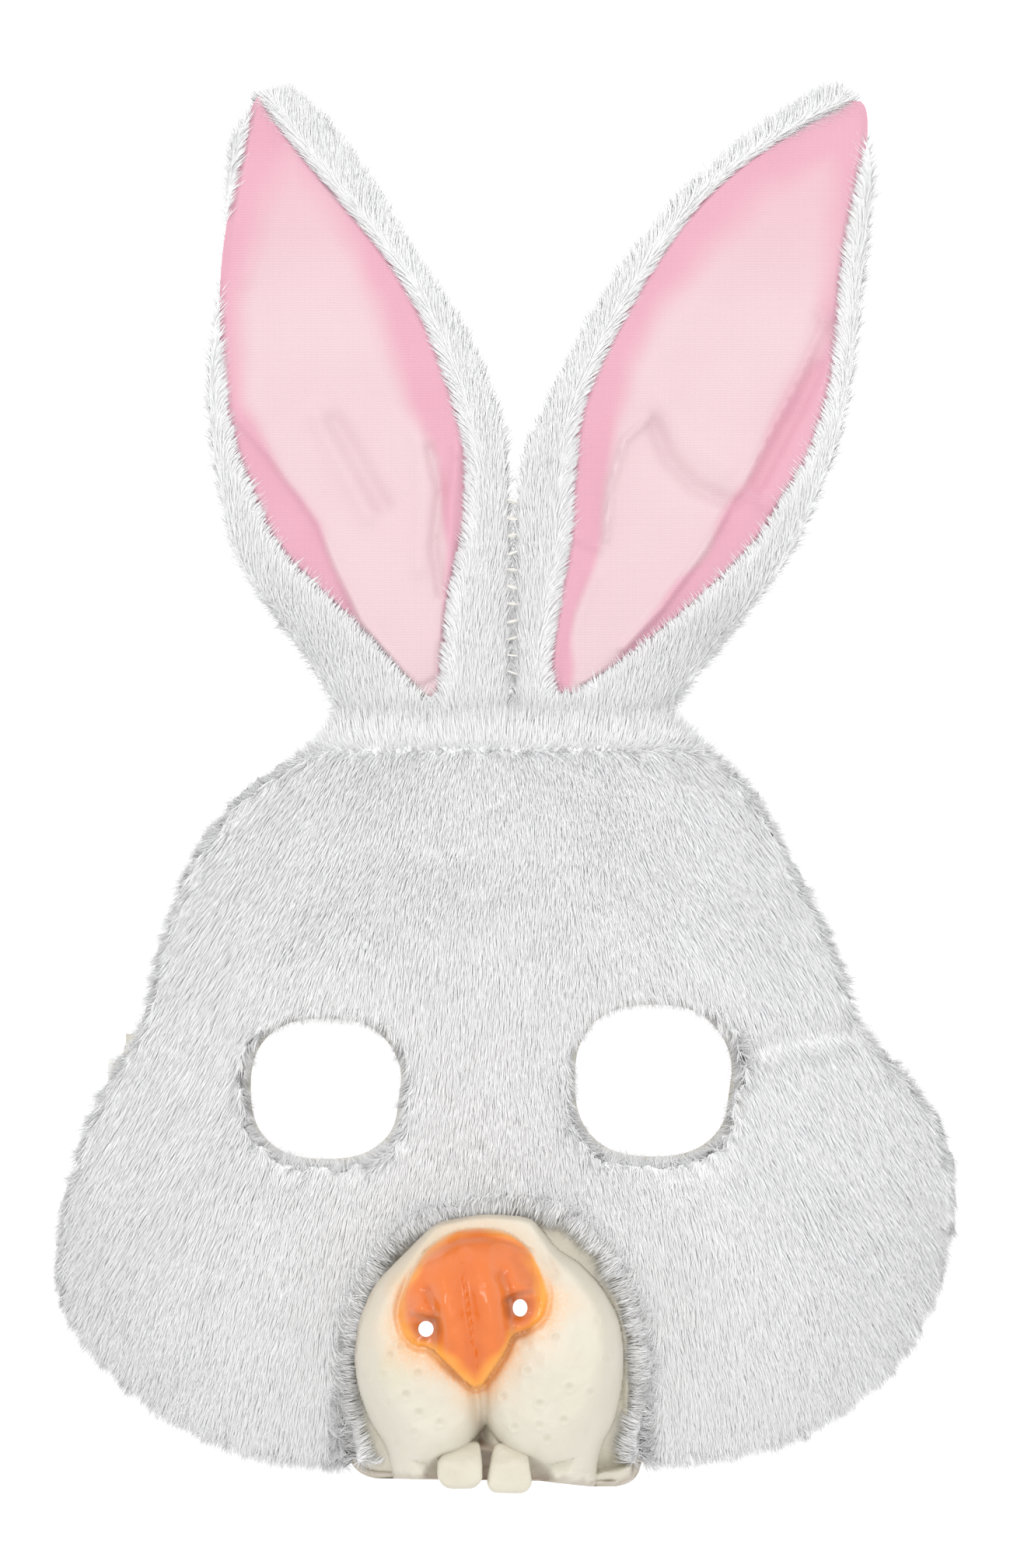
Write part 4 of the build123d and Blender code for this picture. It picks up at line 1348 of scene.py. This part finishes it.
# Height, left side and right side of each tooth, from its top down
TOOTH_SIDES = {
    "left": [
        (-78, -12.0, -4.2), (-79.8, -12.2, -4.1), (-82.5, -13.7, -3.8), (-86, -13.8, -3.7),
        (-88.3, -12.4, -4.8),
    ],
    "right": [
        (-78.5, -1.4, 6.0), (-80.4, -1.6, 6.2), (-84.2, -2.3, 6.8), (-87.4, -2.8, 6.9),
        (-89.3, -2.4, 6.4),
    ],
}
for side in SIDES:
    low, high = (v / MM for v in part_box(f"tooth_{side}"))
    only(floor)
    bpy.ops.mesh.primitive_cube_add(size=2)
    tooth = bpy.context.object
    bpy.ops.object.mode_set(mode="EDIT")
    bpy.ops.mesh.select_all(action="SELECT")
    bpy.ops.mesh.subdivide(number_cuts=31)
    bpy.ops.object.mode_set(mode="OBJECT")
    shape = points_of(tooth) * MM
    reach = (np.abs(shape) ** TOOTH_SQUARENESS).sum(axis=1, keepdims=True)
    shape = shape / reach ** (1 / TOOTH_SQUARENESS)
    table = np.array(TOOTH_SIDES[side])[::-1]
    z = (low.z + table[-1, 0]) / 2 + shape[:, 2] * (table[-1, 0] - low.z) / 2
    left, right = np.interp(z, table[:, 0], table[:, 1]), np.interp(z, table[:, 0], table[:, 2])
    x = (left + right) / 2 + shape[:, 0] * (right - left) / 2
    back = smoothstep(z, -84, -78)
    y = (low.y + high.y) / 2 + shape[:, 1] * (high.y - low.y) / 2 * (1 - 0.3 * back) + 1.6 * back
    spots = np.stack([x, y, z], 1)
    spots += 0.25 * drift(spots, 3.0) + 0.06 * drift(spots, 0.9)
    set_points(tooth, spots)
    soften(tooth, 4)
    bpy.ops.object.shade_smooth()
    tooth.name = tooth.data.name = f"front_tooth_{side}"
    tooth.data.materials.append(mat_tooth)
    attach(tooth, "mask")
    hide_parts(f"tooth_{side}")
    print(tooth.name, "faces:", len(tooth.data.polygons))

# %% [markdown]
# ## Glue line
# The snout is glued into the hole in the plush, and the glue has squeezed out and dried in lumps along the
# join. A lumpy tube follows the snout's outline, thick in some places and almost gone in others.

# %% Glue line
glue_line = ring_along("glue_line", snout_outline, 1.1, 2.3, 0.8, 3.0)
glue_line.data.materials.append(mat_glue)
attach(glue_line, "mask")

# %% [markdown]
# ## Elastic strap
# The strap is a flat woven elastic band. It is a grid laid along half an ellipse between the rivets, with
# low ribs running its length and rounded ends, given its thickness by Solidify.

# %% Elastic finish and strap
def elastic_finish():
    """Ribbed white elastic: threads on the band's own map."""
    material, shader = finish("woven_elastic", 0.75, sheen=0.3)
    tree = material.node_tree
    cotton = mottle_node(tree, (0.86, 0.86, 0.84), (0.74, 0.73, 0.70), 120, 1500)
    threads = weave_height(tree, 0.42, 0.3)
    half = maths(tree, "MULTIPLY", threads, 0.5)
    shade = colour_mix(tree, half, cotton.outputs["Color"], (0.62, 0.61, 0.58, 1))
    tree.links.new(shade, shader.inputs["Base Color"])
    bump_into(tree, shader, threads, 0.15)
    return material


STRAP_COLUMNS = 33
STRAP_THICK = 0.9
STRAP_CORNER = 3.2


def make_strap():
    """The band with its ribs, ends and map."""
    low, high = (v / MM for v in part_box("elastic_strap"))
    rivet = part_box("strap_rivet_left")
    rivet_z = (rivet[0].z + rivet[1].z) / 2 / MM
    reach, drop = high.x - 0.6, rivet_z - low.z - 0.6
    angles = np.linspace(0, math.pi, 500)
    curve = np.stack([-reach * np.cos(angles), rivet_z - drop * np.sin(angles)], 1)
    ends = np.linspace(high.z, rivet_z, 14, endpoint=False)
    first = np.stack([0 * ends - reach, ends], 1)
    last = np.stack([0 * ends + reach, ends], 1)[::-1]
    curve = np.concatenate([first, curve, last])
    along = np.concatenate([[0], np.cumsum(np.linalg.norm(np.diff(curve, axis=0), axis=1))])
    tangent = np.gradient(curve, axis=0)
    normal = np.stack([tangent[:, 1], -tangent[:, 0]], 1)
    normal = normal / np.linalg.norm(normal, axis=1, keepdims=True)
    across = np.linspace(-1, 1, STRAP_COLUMNS)
    to_end = np.minimum(along, along[-1] - along)
    half = (high.y - low.y) / 2 - 0.15
    rise = 1 - np.clip(to_end / STRAP_CORNER, 0, 1)
    narrow = half - STRAP_CORNER * (1 - np.sqrt(np.clip(1 - rise**2, 0, 1)))
    rib = 0.11 * np.cos(across * math.pi * 8)
    ripple = 0.25 * np.sin(along / 9.0)[:, None] * across[None, :] ** 2
    piece, start = grid_piece("elastic_band", STRAP_COLUMNS - 1, len(curve) - 1)
    i = np.round((start[:, 1] + 1) / 2 * (len(curve) - 1)).astype(int)
    j = np.round((start[:, 0] + 1) / 2 * (STRAP_COLUMNS - 1)).astype(int)
    offset = rib[j] + ripple[i, j]
    x, z = (curve[i, k] + normal[i, k] * offset for k in (0, 1))
    y = (low.y + high.y) / 2 + across[j] * narrow[i]
    set_points(piece, np.stack([x, y, z], 1))
    map_cloth(piece, np.stack([across[j] * half, along[i]], 1))
    thicken(piece, STRAP_THICK, 0.0)
    bpy.ops.object.shade_smooth_by_angle(angle=math.radians(50))
    print("strap length:", round(float(along[-1]), 1), "mm")
    return piece


elastic_band = make_strap()
elastic_band.data.materials.append(elastic_finish())
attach(elastic_band, "strap")
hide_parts("elastic_strap")

# %% Strap tabs
for side, out in (("left", -1), ("right", 1)):
    tab = remeshed_copy(f"strap_tab_worn_{side}", f"strap_tab_{side}", 0.5)
    spots = points_of(tab)
    spots[:, 0] -= out * 3.0 * smoothstep(spots[:, 2], 3.5, 8.0)
    set_points(tab, spots + 0.12 * drift(spots, 3.0))
    bpy.ops.object.shade_smooth()
    tab.data.materials.append(mat_latex)
    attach(tab, "mask")
    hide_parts(f"strap_tab_{side}")

# %% Finishes for the CAD nodes that stay
for name, piece in node.items():
    if not piece.hide_render:
        piece.data.materials.clear()
        piece.data.materials.append(mat_rivet if "rivet" in name else mat_latex)
        print("kept node:", name)
